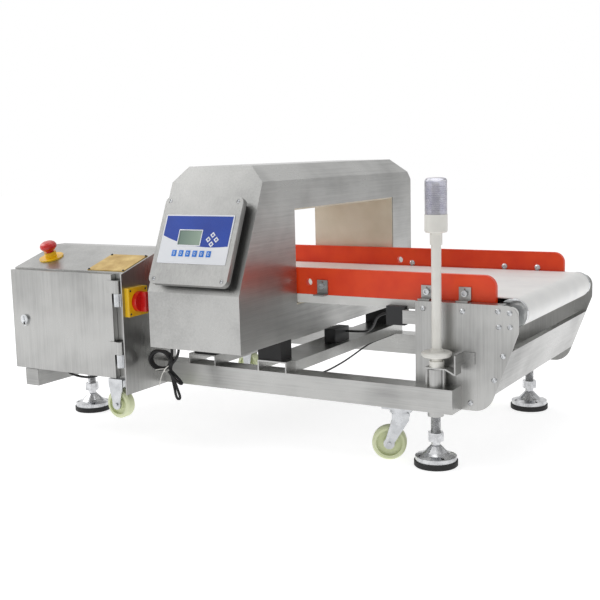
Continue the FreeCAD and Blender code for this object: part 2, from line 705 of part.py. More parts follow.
for x, z in PLATE_SCREWS[6:8]:
    circle(apron_holes, x, z, PLATE_SCREW_D + 0.2)
pocket(apron, apron_holes)
group("aprons", [apron, mirrored(apron, X_AXIS)])

# ---------------------------------------------------------------- conveyor: bed, drums and belt

bed_plate = box("bed_plate", -BED_END_X, -BELT_WIDTH / 2 - 3, BED_TOP - BED, BED_END_X * 2, BELT_WIDTH + 6, BED)
RAIL_Y = BELT_WIDTH / 2 + 3
bed_rail_front = box("bed_rail_front", -BED_END_X, -RAIL_Y - RAIL_WIDTH, RAIL_BOTTOM, BED_END_X * 2, RAIL_WIDTH,
                     RAIL_TOP - RAIL_BOTTOM)
bed_rail_rear = mirrored(bed_rail_front, Y_AXIS)
label(bed_plate, "slider_bed")
group("bed_rails", [bed_rail_front, bed_rail_rear])

stay = square_tube("stay", STAY_X, -PLATE_INNER, RAIL_BOTTOM - STAY, PLATE_INNER * 2, STAY, "y")
group("bed_cross_members", [stay, mirrored(stay, X_AXIS)])

BLOCK_SIDE = size(44)
BLOCK_WIDE = size(20)
bearing = prism_y("bearing", -PLATE_INNER, BLOCK_WIDE, [
    (-BLOCK_SIDE / 2, -BLOCK_SIDE / 2), (BLOCK_SIDE / 2, -BLOCK_SIDE / 2), (BLOCK_SIDE / 2, BLOCK_SIDE / 2),
    (-BLOCK_SIDE / 2, BLOCK_SIDE / 2)])
fillet(bearing, [at(-BLOCK_SIDE / 2, 0, -BLOCK_SIDE / 2), at(BLOCK_SIDE / 2, 0, -BLOCK_SIDE / 2),
                 at(BLOCK_SIDE / 2, 0, BLOCK_SIDE / 2), at(-BLOCK_SIDE / 2, 0, BLOCK_SIDE / 2)], Y_AXIS, 14)
shaft_bore = sketch(bearing, "XZ_Plane", 0)
circle(shaft_bore, 4, 6, DRUM_SHAFT_D + 0.1)
pocket(bearing, shaft_bore)
place(bearing, DRUM_X - 4, 0, DRUM_Z - 6)
bearing_rear = mirrored(bearing, Y_AXIS)
group("bearing_blocks", [bearing, bearing_rear, mirrored(bearing, X_AXIS), mirrored(bearing_rear, X_AXIS)])


def drum(label_text, x):
    """A drum with its shaft and two end flanges that keep the belt between them."""
    body = new_body(label_text)
    profile = sketch(body, "YZ_Plane")
    radius = DRUM_D / 2 - GAP
    flange = DRUM_D / 2 + BELT
    start = BELT_WIDTH / 2 + 2
    end = start + DRUM_FLANGE
    shaft_end = PLATE_INNER - 2
    shaft = DRUM_SHAFT_D / 2
    outline(profile, [(-shaft_end, 0), (-shaft_end, shaft), (-end, shaft), (-end, flange), (-start, flange),
                      (-start, radius), (start, radius), (start, flange), (end, flange), (end, shaft),
                      (shaft_end, shaft), (shaft_end, 0)])
    revolve(body, profile, "H_Axis")
    return place(body, x, 0, DRUM_Z)


drum("idler_drum", DRUM_X)
drum("drive_drum", -DRUM_X)

RETURN_Z = RAIL_BOTTOM + RETURN_RISE - RETURN_BAR_D / 2
return_bar = new_body("return_bar")
profile = sketch(return_bar, "YZ_Plane")
outline(profile, [(-PLATE_INNER, 0), (-PLATE_INNER, 8), (2 - RAIL_Y, 8), (2 - RAIL_Y, RETURN_BAR_D / 2),
                  (RAIL_Y - 2, RETURN_BAR_D / 2), (RAIL_Y - 2, 8), (PLATE_INNER, 8), (PLATE_INNER, 0)])
revolve(return_bar, profile, "H_Axis")
place(return_bar, RETURN_BAR_X, 0, RETURN_Z)
group("return_bars", [return_bar, mirrored(return_bar, X_AXIS)])


def belt_loop(profile, drum_radius, bar_radius):
    """One face of the belt: over both drums, then back above both return bars, tangent all the way."""
    big = size(drum_radius)
    small = size(bar_radius)
    reach = DRUM_X.value - RETURN_BAR_X.value
    drop = DRUM_Z.value - RETURN_Z.value
    distance = math.hypot(reach, drop)
    strand = math.atan2(drop, reach) - math.asin((big.value + small.value) / distance)
    low = strand - math.pi / 2
    up = Vector(0, 0, 1)

    def spot(x, z, radius, angle):
        return Vector(x + radius * math.cos(angle), z + radius * math.sin(angle), 0)

    def arc(x, z, radius, start, end):
        index = profile.addGeometry(Part.ArcOfCircle(Part.Circle(Vector(x.value, z.value, 0), up, radius.value),
                                                     start, end), False)
        pin_point(profile, index, 3, x, z)
        constraint = profile.addConstraint(Sketcher.Constraint("Radius", index, radius.value))
        profile.setExpression(f"Constraints[{constraint}]", radius.text)
        return index

    def line(first, second):
        return profile.addGeometry(Part.LineSegment(first, second), False)

    def joined(first, first_end, second, second_end):
        profile.addConstraint(Sketcher.Constraint("Tangent", first, first_end, second, second_end))

    right, left = DRUM_X, -DRUM_X
    right_bar, left_bar = RETURN_BAR_X, -RETURN_BAR_X
    top_line = line(spot(left.value, DRUM_Z.value, big.value, math.pi / 2),
                    spot(right.value, DRUM_Z.value, big.value, math.pi / 2))
    right_arc = arc(right, DRUM_Z, big, low, math.pi / 2)
    right_strand = line(spot(right.value, DRUM_Z.value, big.value, low),
                        spot(right_bar.value, RETURN_Z.value, small.value, low + math.pi))
    right_bar_arc = arc(right_bar, RETURN_Z, small, low + math.pi, math.pi / 2)
    bottom_line = line(spot(right_bar.value, RETURN_Z.value, small.value, math.pi / 2),
                       spot(left_bar.value, RETURN_Z.value, small.value, math.pi / 2))
    left_bar_arc = arc(left_bar, RETURN_Z, small, math.pi / 2, -low)
    left_strand = line(spot(left_bar.value, RETURN_Z.value, small.value, -low),
                       spot(left.value, DRUM_Z.value, big.value, math.pi - low))
    left_arc = arc(left, DRUM_Z, big, math.pi / 2, math.pi - low)
    joined(top_line, 2, right_arc, 2)
    joined(right_arc, 1, right_strand, 1)
    joined(right_strand, 2, right_bar_arc, 1)
    joined(right_bar_arc, 2, bottom_line, 1)
    joined(bottom_line, 2, left_bar_arc, 1)
    joined(left_bar_arc, 2, left_strand, 1)
    joined(left_strand, 2, left_arc, 2)
    joined(left_arc, 1, top_line, 1)


belt = new_body("conveyor_belt")
profile = sketch(belt, "XZ_Plane", -BELT_WIDTH / 2)
belt_loop(profile, DRUM_D / 2 + BELT, RETURN_BAR_D / 2)
belt_loop(profile, DRUM_D / 2, RETURN_BAR_D / 2 + BELT)
pad(belt, profile, BELT_WIDTH)

# ---------------------------------------------------------------- guides, brackets and their bolts

BRACKETS = [(BRACKET_X1, RAIL_TOP), (BRACKET_X2, PLATE_TOP), (BRACKET_X3, PLATE_TOP)]
BOLT_D = size(8)


def guide(label_text, y):
    body = prism_y(label_text, y, GUIDE, [(-GUIDE_END_X, RAIL_TOP), (GUIDE_END_X, RAIL_TOP), (GUIDE_END_X, GUIDE_TOP),
                                          (-GUIDE_END_X, GUIDE_TOP)])
    fillet(body, [at(GUIDE_END_X, 0, GUIDE_TOP), at(-GUIDE_END_X, 0, GUIDE_TOP)], Y_AXIS, GUIDE_R)
    holes = sketch(body, "XZ_Plane", -y)
    circle(holes, GUIDE_EYE_X, GUIDE_EYE_Z, GUIDE_EYE_D)
    for x, _ in BRACKETS:
        circle(holes, x, BOLT_Z, BOLT_D + 0.2)
        circle(holes, -x, BOLT_Z, BOLT_D + 0.2)
    pocket(body, holes)
    return body


guide("guide_front", -GUIDE_OUTER_Y)
guide("guide_rear", GUIDE_INNER_Y)


def bracket(index, x, foot_z):
    """A small angle: an upright against the guide and a foot that points away from the belt."""
    body = prism_x(f"bracket_{index}", x - BRACKET_WIDTH / 2, BRACKET_WIDTH, [
        (-GUIDE_OUTER_Y, foot_z), (-GUIDE_OUTER_Y, RAIL_TOP + BRACKET_RISE),
        (-GUIDE_OUTER_Y - SHEET, RAIL_TOP + BRACKET_RISE), (-GUIDE_OUTER_Y - SHEET, foot_z + SHEET),
        (-GUIDE_OUTER_Y - BRACKET_FOOT, foot_z + SHEET), (-GUIDE_OUTER_Y - BRACKET_FOOT, foot_z)])
    holes = sketch(body, "XZ_Plane", GUIDE_OUTER_Y)
    circle(holes, x, BOLT_Z, BOLT_D + 0.2)
    circle(holes, x, BOLT_Z + 9, 3)
    pocket(body, holes)
    return body


front_right_brackets = group("front_right_brackets", [bracket(i, x, z) for i, (x, z) in enumerate(BRACKETS)])
front_brackets = group("front_brackets", [front_right_brackets, mirrored(front_right_brackets, X_AXIS)])
group("guide_brackets", [front_brackets, mirrored(front_brackets, Y_AXIS)])

quarter = []
for index, (x, _) in enumerate(BRACKETS):
    quarter.append(screw(f"guide_bolt_{index}", x, -GUIDE_INNER_Y, BOLT_Z, "+y", 8, 18, 14, 3))
    nut = cylinder(f"guide_nut_{index}", x, -GUIDE_OUTER_Y - SHEET - 6, BOLT_Z, 13, 6, ALONG_Y)
    bore = cylinder(f"guide_nut_bore_{index}", x, -GUIDE_OUTER_Y - SHEET - 7, BOLT_Z, BOLT_D, 8, ALONG_Y)
    quarter.append(cut(f"guide_ring_{index}", nut, [bore]))
for index, (x, z) in enumerate(PLATE_SCREWS):
    quarter.append(screw(f"plate_screw_{index}", x, -PLATE_Y, z, "-y", 6, 3, 11, 3))
quarter_group = group("fasteners_quarter", quarter)
half_group = group("fasteners_half", [quarter_group, mirrored(quarter_group, X_AXIS)])
group("fasteners", [half_group, mirrored(half_group, Y_AXIS)])

# ---------------------------------------------------------------- detector head and its supports

head = prism_x("detector_head", -HEAD_X, HEAD_X * 2, [
    (HEAD_FRONT, HEAD_BOTTOM), (HEAD_BACK, HEAD_BOTTOM), (HEAD_BACK, HEAD_TOP - HEAD_REAR_CHAMFER),
    (HEAD_BACK - HEAD_REAR_CHAMFER, HEAD_TOP), (HEAD_RIDGE_Y, HEAD_TOP), (HEAD_FRONT, HEAD_BEND)])
corners = sketch(head, "XZ_Plane")
for side in (1, -1):
    outline(corners, [(HEAD_X * side, HEAD_TOP - HEAD_CHAMFER_Z), (HEAD_X * side, HEAD_TOP + 1),
                      ((HEAD_X - HEAD_CHAMFER_X) * side, HEAD_TOP + 1), ((HEAD_X - HEAD_CHAMFER_X) * side, HEAD_TOP)])
pocket(head, corners)
aperture = sketch(head, "YZ_Plane")
rectangle(aperture, -APERTURE_Y, APERTURE_BOTTOM, APERTURE_Y, APERTURE_TOP)
pocket(head, aperture)

liner = new_body("aperture_liner")
profile = sketch(liner, "YZ_Plane", THIN - HEAD_X)
rectangle(profile, -APERTURE_Y, APERTURE_BOTTOM, APERTURE_Y, APERTURE_TOP)
rectangle(profile, -APERTURE_Y + LINER, APERTURE_BOTTOM + LINER, APERTURE_Y - LINER, APERTURE_TOP - LINER)
pad(liner, profile, (HEAD_X - THIN) * 2)

CHANNEL_LENGTH = REAR_BEAM_Y + TUBE - FRONT_BEAM_Y
half_channel = CHANNEL_WIDTH / 2
channel = prism_y("channel", FRONT_BEAM_Y, CHANNEL_LENGTH, [
    (CHANNEL_X - half_channel, BEAM_TOP), (CHANNEL_X - half_channel, CHANNEL_TOP),
    (CHANNEL_X + half_channel, CHANNEL_TOP), (CHANNEL_X + half_channel, BEAM_TOP),
    (CHANNEL_X + half_channel - SHEET, BEAM_TOP), (CHANNEL_X + half_channel - SHEET, CHANNEL_TOP - SHEET),
    (CHANNEL_X - half_channel + SHEET, CHANNEL_TOP - SHEET), (CHANNEL_X - half_channel + SHEET, BEAM_TOP)])
sensor_rail = box("sensor_rail", CHANNEL_X + half_channel, FRONT_BEAM_Y + 22, BEAM_TOP, SENSOR_RAIL,
                  CHANNEL_LENGTH - 24, CHANNEL_RISE)
group("head_channels", [channel, mirrored(channel, X_AXIS), sensor_rail])

block = box("isolation_block", CHANNEL_X - 7 - BLOCK_LENGTH / 2, FRONT_BEAM_MID - BLOCK_DEPTH / 2, CHANNEL_TOP,
            BLOCK_LENGTH, BLOCK_DEPTH, HEAD_BOTTOM - CHANNEL_TOP)
block_rear = box("isolation_block_rear", CHANNEL_X - 7 - BLOCK_LENGTH / 2, REAR_BEAM_MID - BLOCK_DEPTH / 2,
                 CHANNEL_TOP, BLOCK_LENGTH, BLOCK_DEPTH, HEAD_BOTTOM - CHANNEL_TOP)
group("isolation_blocks", [block, block_rear, mirrored(block, X_AXIS), mirrored(block_rear, X_AXIS)])

# ---------------------------------------------------------------- control enclosure on the sloped face


def on_slope(item):
    return tilt(item, HEAD_SLOPE, 0, HEAD_FRONT, HEAD_BEND)


def rounded_slab(label_text, width, length, x, y, z, rise, radius):
    """A flat slab with rounded corners, centred on a point of its plane."""
    left, right = x - width / 2, x + width / 2
    low, high = y - length / 2, y + length / 2
    body = prism_z(label_text, z, rise, [(left, low), (right, low), (right, high), (left, high)])
    fillet(body, [at(left, low, 0), at(right, low, 0), at(right, high, 0), at(left, high, 0)], Z_AXIS, radius)
    return body


case = rounded_slab("enclosure_body", LID_WIDTH - ENCLOSURE_INSET * 2, LID_LENGTH - ENCLOSURE_INSET * 2, size(0),
                    ENCLOSURE_MID, size(0), ENCLOSURE_DEPTH, LID_R - ENCLOSURE_INSET)
on_slope(case)
lid = rounded_slab("enclosure_lid", LID_WIDTH, LID_LENGTH, size(0), ENCLOSURE_MID, ENCLOSURE_DEPTH, LID_THICK, LID_R)
FACE = ENCLOSURE_DEPTH + LID_THICK
screw_wells = sketch(lid, "XY_Plane", FACE)
for side_x in (-1, 1):
    for side_y in (-1, 1):
        circle(screw_wells, LID_SCREW * side_x, ENCLOSURE_MID + LID_SCREW * side_y, 9)
pocket(lid, screw_wells, 2)
on_slope(lid)
KEYPAD_MID = ENCLOSURE_MID + KEYPAD_UP
DISPLAY_MID = ENCLOSURE_MID + DISPLAY_UP
keypad = rounded_slab("keypad_membrane", KEYPAD_WIDTH, KEYPAD_LENGTH, size(0), KEYPAD_MID, FACE, KEYPAD, size(3))
window = sketch(keypad, "XY_Plane", FACE)
rectangle(window, DISPLAY_X - DISPLAY_WIDTH / 2, DISPLAY_MID - DISPLAY_LENGTH / 2,
          DISPLAY_X + DISPLAY_WIDTH / 2, DISPLAY_MID + DISPLAY_LENGTH / 2)
pocket(keypad, window)
on_slope(keypad)
display = box("display_window", DISPLAY_X - DISPLAY_WIDTH / 2 + 0.1, DISPLAY_MID - DISPLAY_LENGTH / 2 + 0.1, FACE,
              DISPLAY_WIDTH - 0.2, DISPLAY_LENGTH - 0.2, KEYPAD / 2)
display_frame = group("display_window_group", [display])
label(display_frame, "lcd_window")
on_slope(display_frame)

# ---------------------------------------------------------------- electrical cabinet

cabinet_outline = [(CAB_FRONT, CAB_BOTTOM), (CAB_BACK, CAB_BOTTOM), (CAB_BACK, CAB_TOP), (CAB_RIDGE_Y, CAB_TOP),
                   (CAB_FRONT, CAB_SHOULDER)]
cabinet = prism_x("cabinet_body", CAB_LEFT, CAB_RIGHT - CAB_LEFT, cabinet_outline)
hollow = sketch(cabinet, "YZ_Plane", CAB_LEFT + THIN)
outline(hollow, [(CAB_FRONT + THIN, CAB_BOTTOM + THIN), (CAB_BACK - THIN, CAB_BOTTOM + THIN),
                 (CAB_BACK - THIN, CAB_TOP - THIN), (CAB_RIDGE_Y, CAB_TOP - THIN),
                 (CAB_FRONT + THIN, CAB_SHOULDER - THIN)])
pocket(cabinet, hollow, CAB_RIGHT - CAB_LEFT - THIN * 2, reverse=True)
doorway = sketch(cabinet, "XZ_Plane", -CAB_FRONT + 1)
rectangle(doorway, CAB_LEFT + CAB_RIM, CAB_BOTTOM + CAB_RIM, DOOR_RIGHT - CAB_RIM / 2, CAB_SHOULDER - CAB_RIM)
pocket(cabinet, doorway, THIN + 2)
SKIRT_Y = CAB_FRONT - 13
skirt = sketch(cabinet, "YZ_Plane", CAB_RIGHT - SHEET)
outline(skirt, [(SKIRT_Y, SKIRT_BOTTOM), (CAB_BACK, SKIRT_BOTTOM), (CAB_BACK, CAB_TOP), (CAB_RIDGE_Y, CAB_TOP),
                (SKIRT_Y, CAB_SHOULDER - 3)])
pad(cabinet, skirt, SHEET)

door = prism_y("cabinet_door_pan", DOOR_FRONT, DOOR_DEPTH, [(CAB_LEFT, DOOR_BOTTOM), (DOOR_RIGHT, DOOR_BOTTOM),
                                                       (DOOR_RIGHT, DOOR_TOP), (CAB_LEFT, DOOR_TOP)])
inside = sketch(door, "XZ_Plane", -DOOR_BACK)
rectangle(inside, CAB_LEFT + THIN, DOOR_BOTTOM + THIN, DOOR_RIGHT - THIN, DOOR_TOP - THIN)
pocket(door, inside, DOOR_DEPTH - THIN, reverse=True)
LOCK_BORE = LOCK_D - 6
lock_hole = sketch(door, "XZ_Plane", -DOOR_FRONT)
circle(lock_hole, LOCK_X, LOCK_Z, LOCK_BORE + 0.1)
pocket(door, lock_hole)
PIN_D = size(8)
door_parts = [door]
frame_parts = []
for index in range(2):
    joint_z = HINGE_Z - HINGE_PITCH * index
    tag = f"hinge_{index}"
    knuckle = cylinder(tag + "_knuckle", HINGE_X, HINGE_Y, joint_z + GAP, HINGE_D, KNUCKLE)
    leaf = box(tag + "_leaf", DOOR_RIGHT - 12, DOOR_FRONT - SHEET, joint_z + GAP, HINGE_X - DOOR_RIGHT + 12, SHEET,
               KNUCKLE)
    welded = fuse(tag + "_welded", [knuckle, leaf])
    bore = cylinder(tag + "_bore", HINGE_X, HINGE_Y, joint_z - 1, PIN_D + 0.1, KNUCKLE + 4)
    door_parts.append(cut(tag + "_door_side", welded, [bore]))
    lower = cylinder(tag + "_lower", HINGE_X, HINGE_Y, joint_z - KNUCKLE, HINGE_D, KNUCKLE)
    wall_leaf = box(tag + "_wall_leaf", HINGE_X, HINGE_Y - SHEET / 2, joint_z - KNUCKLE,
                    CAB_RIGHT - SHEET - HINGE_X - GAP, SHEET, KNUCKLE)
    pin = cylinder(tag + "_pin", HINGE_X, HINGE_Y, joint_z - 1, PIN_D, KNUCKLE - 4)
    frame_parts.append(fuse(tag + "_frame_side", [lower, wall_leaf, pin]))
label(fuse("cabinet_door", door_parts), "cabinet_door")
group("hinge_pins", frame_parts)

LOCK_FACE = DOOR_FRONT - 5
lock_face = cylinder("lock_face", LOCK_X, LOCK_FACE, LOCK_Z, LOCK_D, 5 - GAP, ALONG_Y)
lock_shaft = cylinder("lock_shaft", LOCK_X, LOCK_FACE, LOCK_Z, LOCK_BORE, CAB_FRONT - LOCK_FACE + THIN + 1, ALONG_Y)
lock_cam = box("lock_cam", LOCK_X - 8, CAB_FRONT + THIN + 1, LOCK_Z - 30, 16, THIN, 38)
lock_slot = box("lock_slot", LOCK_X - 1.5, LOCK_FACE - 1, LOCK_Z - 7, 3, 3, 14)
lock = fuse("lock_pieces", [lock_face, lock_shaft, lock_cam])
label(cut("cam_lock", lock, [lock_slot]), "cam_lock")


def on_cabinet(item):
    return tilt(item, CAB_SLOPE, 0, CAB_FRONT, CAB_SHOULDER)


stop_disc = cylinder("stop_disc", STOP_X, STOP_UP, 0, STOP_PLATE_D, STOP_PLATE)
stop_neck = cylinder("stop_neck", STOP_X, STOP_UP, 0, STOP_NECK_D, STOP_PLATE + STOP_NECK_RISE)
STEM_D = STOP_NECK_D - 10
STEM_FLOOR = STOP_PLATE + STOP_NECK_RISE - STOP_TRAVEL - 5
stop_bore = cylinder("stop_bore", STOP_X, STOP_UP, STEM_FLOOR - STOP_TRAVEL, STEM_D + 0.1, STOP_NECK_RISE + 20)
stop_base = cut("stop_base", fuse("stop_shell", [stop_disc, stop_neck]), [stop_bore])
on_cabinet(label(group("estop_base", [stop_base]), "estop_base"))

cap = new_body("estop_button")
profile = sketch(cap, "XZ_Plane")
CAP_LOW = STOP_PLATE + STOP_NECK_RISE + STOP_TRAVEL + 0.5
CAP_TOP = CAP_LOW + STOP_CAP_RISE
cap_r = STOP_CAP_D / 2
outline(profile, [(0, STEM_FLOOR + GAP), (STEM_D / 2, STEM_FLOOR + GAP), (STEM_D / 2, CAP_LOW), (cap_r - 5, CAP_LOW),
                  (cap_r, CAP_LOW + 6), (cap_r, CAP_LOW + 11), (cap_r - 3, CAP_TOP - 4), (cap_r - 8, CAP_TOP - 1),
                  (0, CAP_TOP)])
revolve(cap, profile)
stop_run = Size(math.cos(math.radians(CAB_SLOPE.value)), f"cos({CAB_SLOPE.text} * 1deg)")
stop_rise = Size(math.sin(math.radians(CAB_SLOPE.value)), f"sin({CAB_SLOPE.text} * 1deg)")
tilt(cap, CAB_SLOPE, STOP_X, CAB_FRONT + STOP_UP * stop_run, CAB_SHOULDER + STOP_UP * stop_rise)

plate_blank = box("plate_blank", CAB_RIGHT - 113, 4, 0, 106, 90, 1.5)
on_cabinet(label(group("brass_plate", [plate_blank]), "brass_plate"))

half_plate = ISOLATOR / 2
isolator_back = box("isolator_back", CAB_RIGHT, ISOLATOR_Y - half_plate, ISOLATOR_Z - half_plate, ISOLATOR_DEPTH,
                    ISOLATOR, ISOLATOR)
isolator_bore = cylinder("isolator_bore", CAB_RIGHT + 3, ISOLATOR_Y, ISOLATOR_Z, 12.1, ISOLATOR_DEPTH, ALONG_X)
label(cut("isolator_plate", isolator_back, [isolator_bore]), "isolator_plate")
KNOB_X = CAB_RIGHT + ISOLATOR_DEPTH + GAP
knob_disc = cylinder("knob_disc", KNOB_X, ISOLATOR_Y, ISOLATOR_Z, ISOLATOR_KNOB_D, 11, ALONG_X)
knob_grip = box("knob_grip", KNOB_X + 5, ISOLATOR_Y - 6, ISOLATOR_Z - ISOLATOR_KNOB_D / 2 + 1,
                ISOLATOR_KNOB_RISE - 5, 12, ISOLATOR_KNOB_D - 2)
knob_stem = cylinder("knob_stem", CAB_RIGHT + 4, ISOLATOR_Y, ISOLATOR_Z, 12, ISOLATOR_DEPTH, ALONG_X)
label(fuse("isolator_knob", [knob_disc, knob_grip, knob_stem]), "isolator_knob")

# ---------------------------------------------------------------- wheels


def wheel(label_text, diameter):
    """A moulded wheel: a hub, a thin web and a chamfered tread, bored for its axle."""
    body = new_body(label_text)
    profile = sketch(body, "YZ_Plane")
    radius = diameter / 2
    half = WHEEL_WIDTH / 2
    bore = AXLE_D / 2 + 0.05
    outline(profile, [(-half, bore), (-half, 13), (-5, 13), (-5, radius - 9), (-half, radius - 9),
                      (-half, radius - 4), (4 - half, radius), (half - 4, radius), (half, radius - 4),
                      (half, radius - 9), (5, radius - 9), (5, 13), (half, 13), (half, bore)])
    revolve(body, profile, "H_Axis")
    return body


def fork(label_text, top, axle_z, trail, crown):
    """A fork with two cheeks, the axle fixed between them."""
    body = new_body(label_text)
    inner = WHEEL_WIDTH + FORK_GAP * 2
    outer = inner + FORK_SHEET * 2
    cheek = sketch(body, "XZ_Plane")
    outline(cheek, [(-crown, top), (crown, top), (crown, top - 14), (10 - trail, axle_z), (-trail - 10, axle_z),
                    (-crown, top - 14)])
    pad(body, cheek, outer, both_ways=True)
    eye = sketch(body, "XZ_Plane")
    circle(eye, -trail, axle_z, 23)
    pad(body, eye, outer, both_ways=True)
    gap = sketch(body, "XZ_Plane")
    rectangle(gap, -80, -80, 80, top - FORK_SHEET)
    pocket(body, gap, inner, both_ways=True)
    axle = sketch(body, "XZ_Plane")
    circle(axle, -trail, axle_z, AXLE_D)
    pad(body, axle, outer + 6, both_ways=True)
    return body


WHEEL_Z = WHEEL_D / 2 + WHEEL_CLEAR
FORK_TOP = BEAM_BOTTOM - CASTER_PLATE - RACE_RISE - GAP
CASTER_TURN = cell("caster_turn_degrees", 22)
doc.recompute()
turn_cos = Size(math.cos(math.radians(CASTER_TURN.value)), f"cos({CASTER_TURN.text} * 1deg)")
turn_sin = Size(math.sin(math.radians(CASTER_TURN.value)), f"sin({CASTER_TURN.text} * 1deg)")


def turned(item, x, y, z):
    item.Placement.Rotation = Rotation(Z_AXIS, CASTER_TURN.value)
    bind(item, "Placement.Rotation.Angle", CASTER_TURN)
    return place(item, x, y, z)


caster_pieces = []
for where, y in (("front", FRONT_BEAM_MID), ("rear", REAR_BEAM_MID)):
    caster_pieces.append(fuse(f"caster_{where}", [
        box(f"caster_top_{where}", CASTER_X - CASTER_PLATE_LENGTH / 2, y - CASTER_PLATE_WIDTH / 2,
            BEAM_BOTTOM - CASTER_PLATE, CASTER_PLATE_LENGTH, CASTER_PLATE_WIDTH, CASTER_PLATE),
        cylinder(f"caster_race_{where}", CASTER_X, y, BEAM_BOTTOM - CASTER_PLATE - RACE_RISE, RACE_D, RACE_RISE)]))
    swivel = fork(f"caster_fork_{where}", FORK_TOP - WHEEL_Z, 0, CASTER_TRAIL, 18)
    turned(swivel, CASTER_X, y, WHEEL_Z)
    tyre = wheel(f"wheel_{where}_right", WHEEL_D)
    turned(tyre, CASTER_X - CASTER_TRAIL * turn_cos, y - CASTER_TRAIL * turn_sin, WHEEL_Z)
group("caster_plates", caster_pieces)

SMALL_WHEEL_Y = CAB_FRONT + 4
rigid_front = fork("rigid_front", CAB_BOTTOM - SMALL_WHEEL_Z, 0, 0, 20)
place(rigid_front, SMALL_WHEEL_X, SMALL_WHEEL_Y, SMALL_WHEEL_Z)
rigid_rear = fork("rigid_rear", BEAM_BOTTOM - WHEEL_Z, 0, 0, 20)
place(rigid_rear, REAR_WHEEL_X, REAR_BEAM_MID, WHEEL_Z)
group("rigid_forks", [rigid_front, rigid_rear])
place(wheel("wheel_front_left", SMALL_WHEEL_D), SMALL_WHEEL_X, SMALL_WHEEL_Y, SMALL_WHEEL_Z)
place(wheel("wheel_rear_left", WHEEL_D), REAR_WHEEL_X, REAR_BEAM_MID, WHEEL_Z)

# ---------------------------------------------------------------- signal tower

ARM_Z = BEAM_TOP + SLEEVE_TALL + 3
ARM_Y = TOWER_Y - 15
arm = prism_y("tower_arm", ARM_Y, 30, [
    (TOWER_X - 20, ARM_Z), (TOWER_X + 24, ARM_Z), (TOWER_X + 42, ARM_Z - 9),
    (TOWER_X + 46, ARM_Z - 9), (TOWER_X + 46, ARM_Z + 31), (TOWER_X + 43, ARM_Z + 31),
    (TOWER_X + 43, ARM_Z - 6), (TOWER_X + 25, ARM_Z + 3), (TOWER_X - 20, ARM_Z + 3)])
arm_tab = box("arm_tab", TOWER_X + 43, -PLATE_Y - SHEET, ARM_Z + 7, 26, SHEET, 24)
arm_web = box("arm_web", TOWER_X + 43, ARM_Y + 30, ARM_Z + 7, SHEET, -PLATE_Y - ARM_Y - 30, 24)
arm_welded = fuse("arm_welded", [arm, arm_tab, arm_web])
arm_hole = cylinder("arm_hole", TOWER_X, TOWER_Y, ARM_Z - 2, 16.2, 8)
label(cut("tower_bracket", arm_welded, [arm_hole]), "tower_bracket")

tower_base = new_body("tower_base")
profile = sketch(tower_base, "XZ_Plane")
DISC_Z = TOWER_POLE_BOTTOM + 3
DISC_TOP = DISC_Z + TOWER_DISC_RISE
outline(profile, [(0, ARM_Z - 2), (8, ARM_Z - 2), (8, ARM_Z + 3), (15, ARM_Z + 3), (15, ARM_Z + 15),
                  (11, ARM_Z + 15), (11, DISC_Z), (TOWER_DISC_D / 2 - 3, DISC_Z), (TOWER_DISC_D / 2, DISC_Z + 3),
                  (TOWER_DISC_D / 2, DISC_TOP - 2), (TOWER_DISC_D / 2 - 3, DISC_TOP), (15, DISC_TOP),
                  (13, DISC_TOP + 5), (0, DISC_TOP + 5)])
revolve(tower_base, profile)
place(tower_base, TOWER_X, TOWER_Y, 0)

tower_pole = new_body("tower_pole")
profile = sketch(tower_pole, "XZ_Plane")
SOCKET_TOP = TOWER_SOCKET_Z + TOWER_SOCKET_RISE
LAMP_TOP = SOCKET_TOP + 3 + TOWER_BASE_RISE
outline(profile, [(0, DISC_TOP + 5), (TOWER_POLE_D / 2, DISC_TOP + 5), (TOWER_POLE_D / 2, TOWER_SOCKET_Z),
                  (TOWER_SOCKET_D / 2, TOWER_SOCKET_Z), (TOWER_SOCKET_D / 2, SOCKET_TOP),
                  (TOWER_BASE_D / 2 - 3, SOCKET_TOP), (TOWER_BASE_D / 2, SOCKET_TOP + 3),
                  (TOWER_BASE_D / 2, LAMP_TOP), (0, LAMP_TOP)])
revolve(tower_pole, profile)
place(tower_pole, TOWER_X, TOWER_Y, 0)

lens = new_body("tower_lens")
profile = sketch(lens, "XZ_Plane")
LENS_R = TOWER_LENS_D / 2
LENS_TOP = LAMP_TOP + TOWER_LENS_RISE
wall = TOWER_LENS_WALL
outline(profile, [(LENS_R - wall, LAMP_TOP), (LENS_R, LAMP_TOP), (LENS_R, LENS_TOP - 6), (LENS_R - 3, LENS_TOP - 1),
                  (LENS_R - 9, LENS_TOP), (0, LENS_TOP), (0, LENS_TOP - wall), (LENS_R - 9, LENS_TOP - wall),
                  (LENS_R - wall, LENS_TOP - 7)])
revolve(lens, profile)
place(lens, TOWER_X, TOWER_Y, 0)

# ---------------------------------------------------------------- photo sensor

sensor = box("sensor", PLATE_LEFT - 72, -PLATE_Y + 13, 278, 42, 15, 40)
label(group("photo_sensor", [sensor]), "photo_sensor")
sensor_leg = box("sensor_leg", PLATE_LEFT - 30, -PLATE_INNER, 284, SHEET, 25, 28)
sensor_foot = box("sensor_foot", PLATE_LEFT - 30, -PLATE_INNER, 284, 38, SHEET, 28)
label(fuse("sensor_bracket", [sensor_leg, sensor_foot]), "sensor_bracket")

# ---------------------------------------------------------------- writing

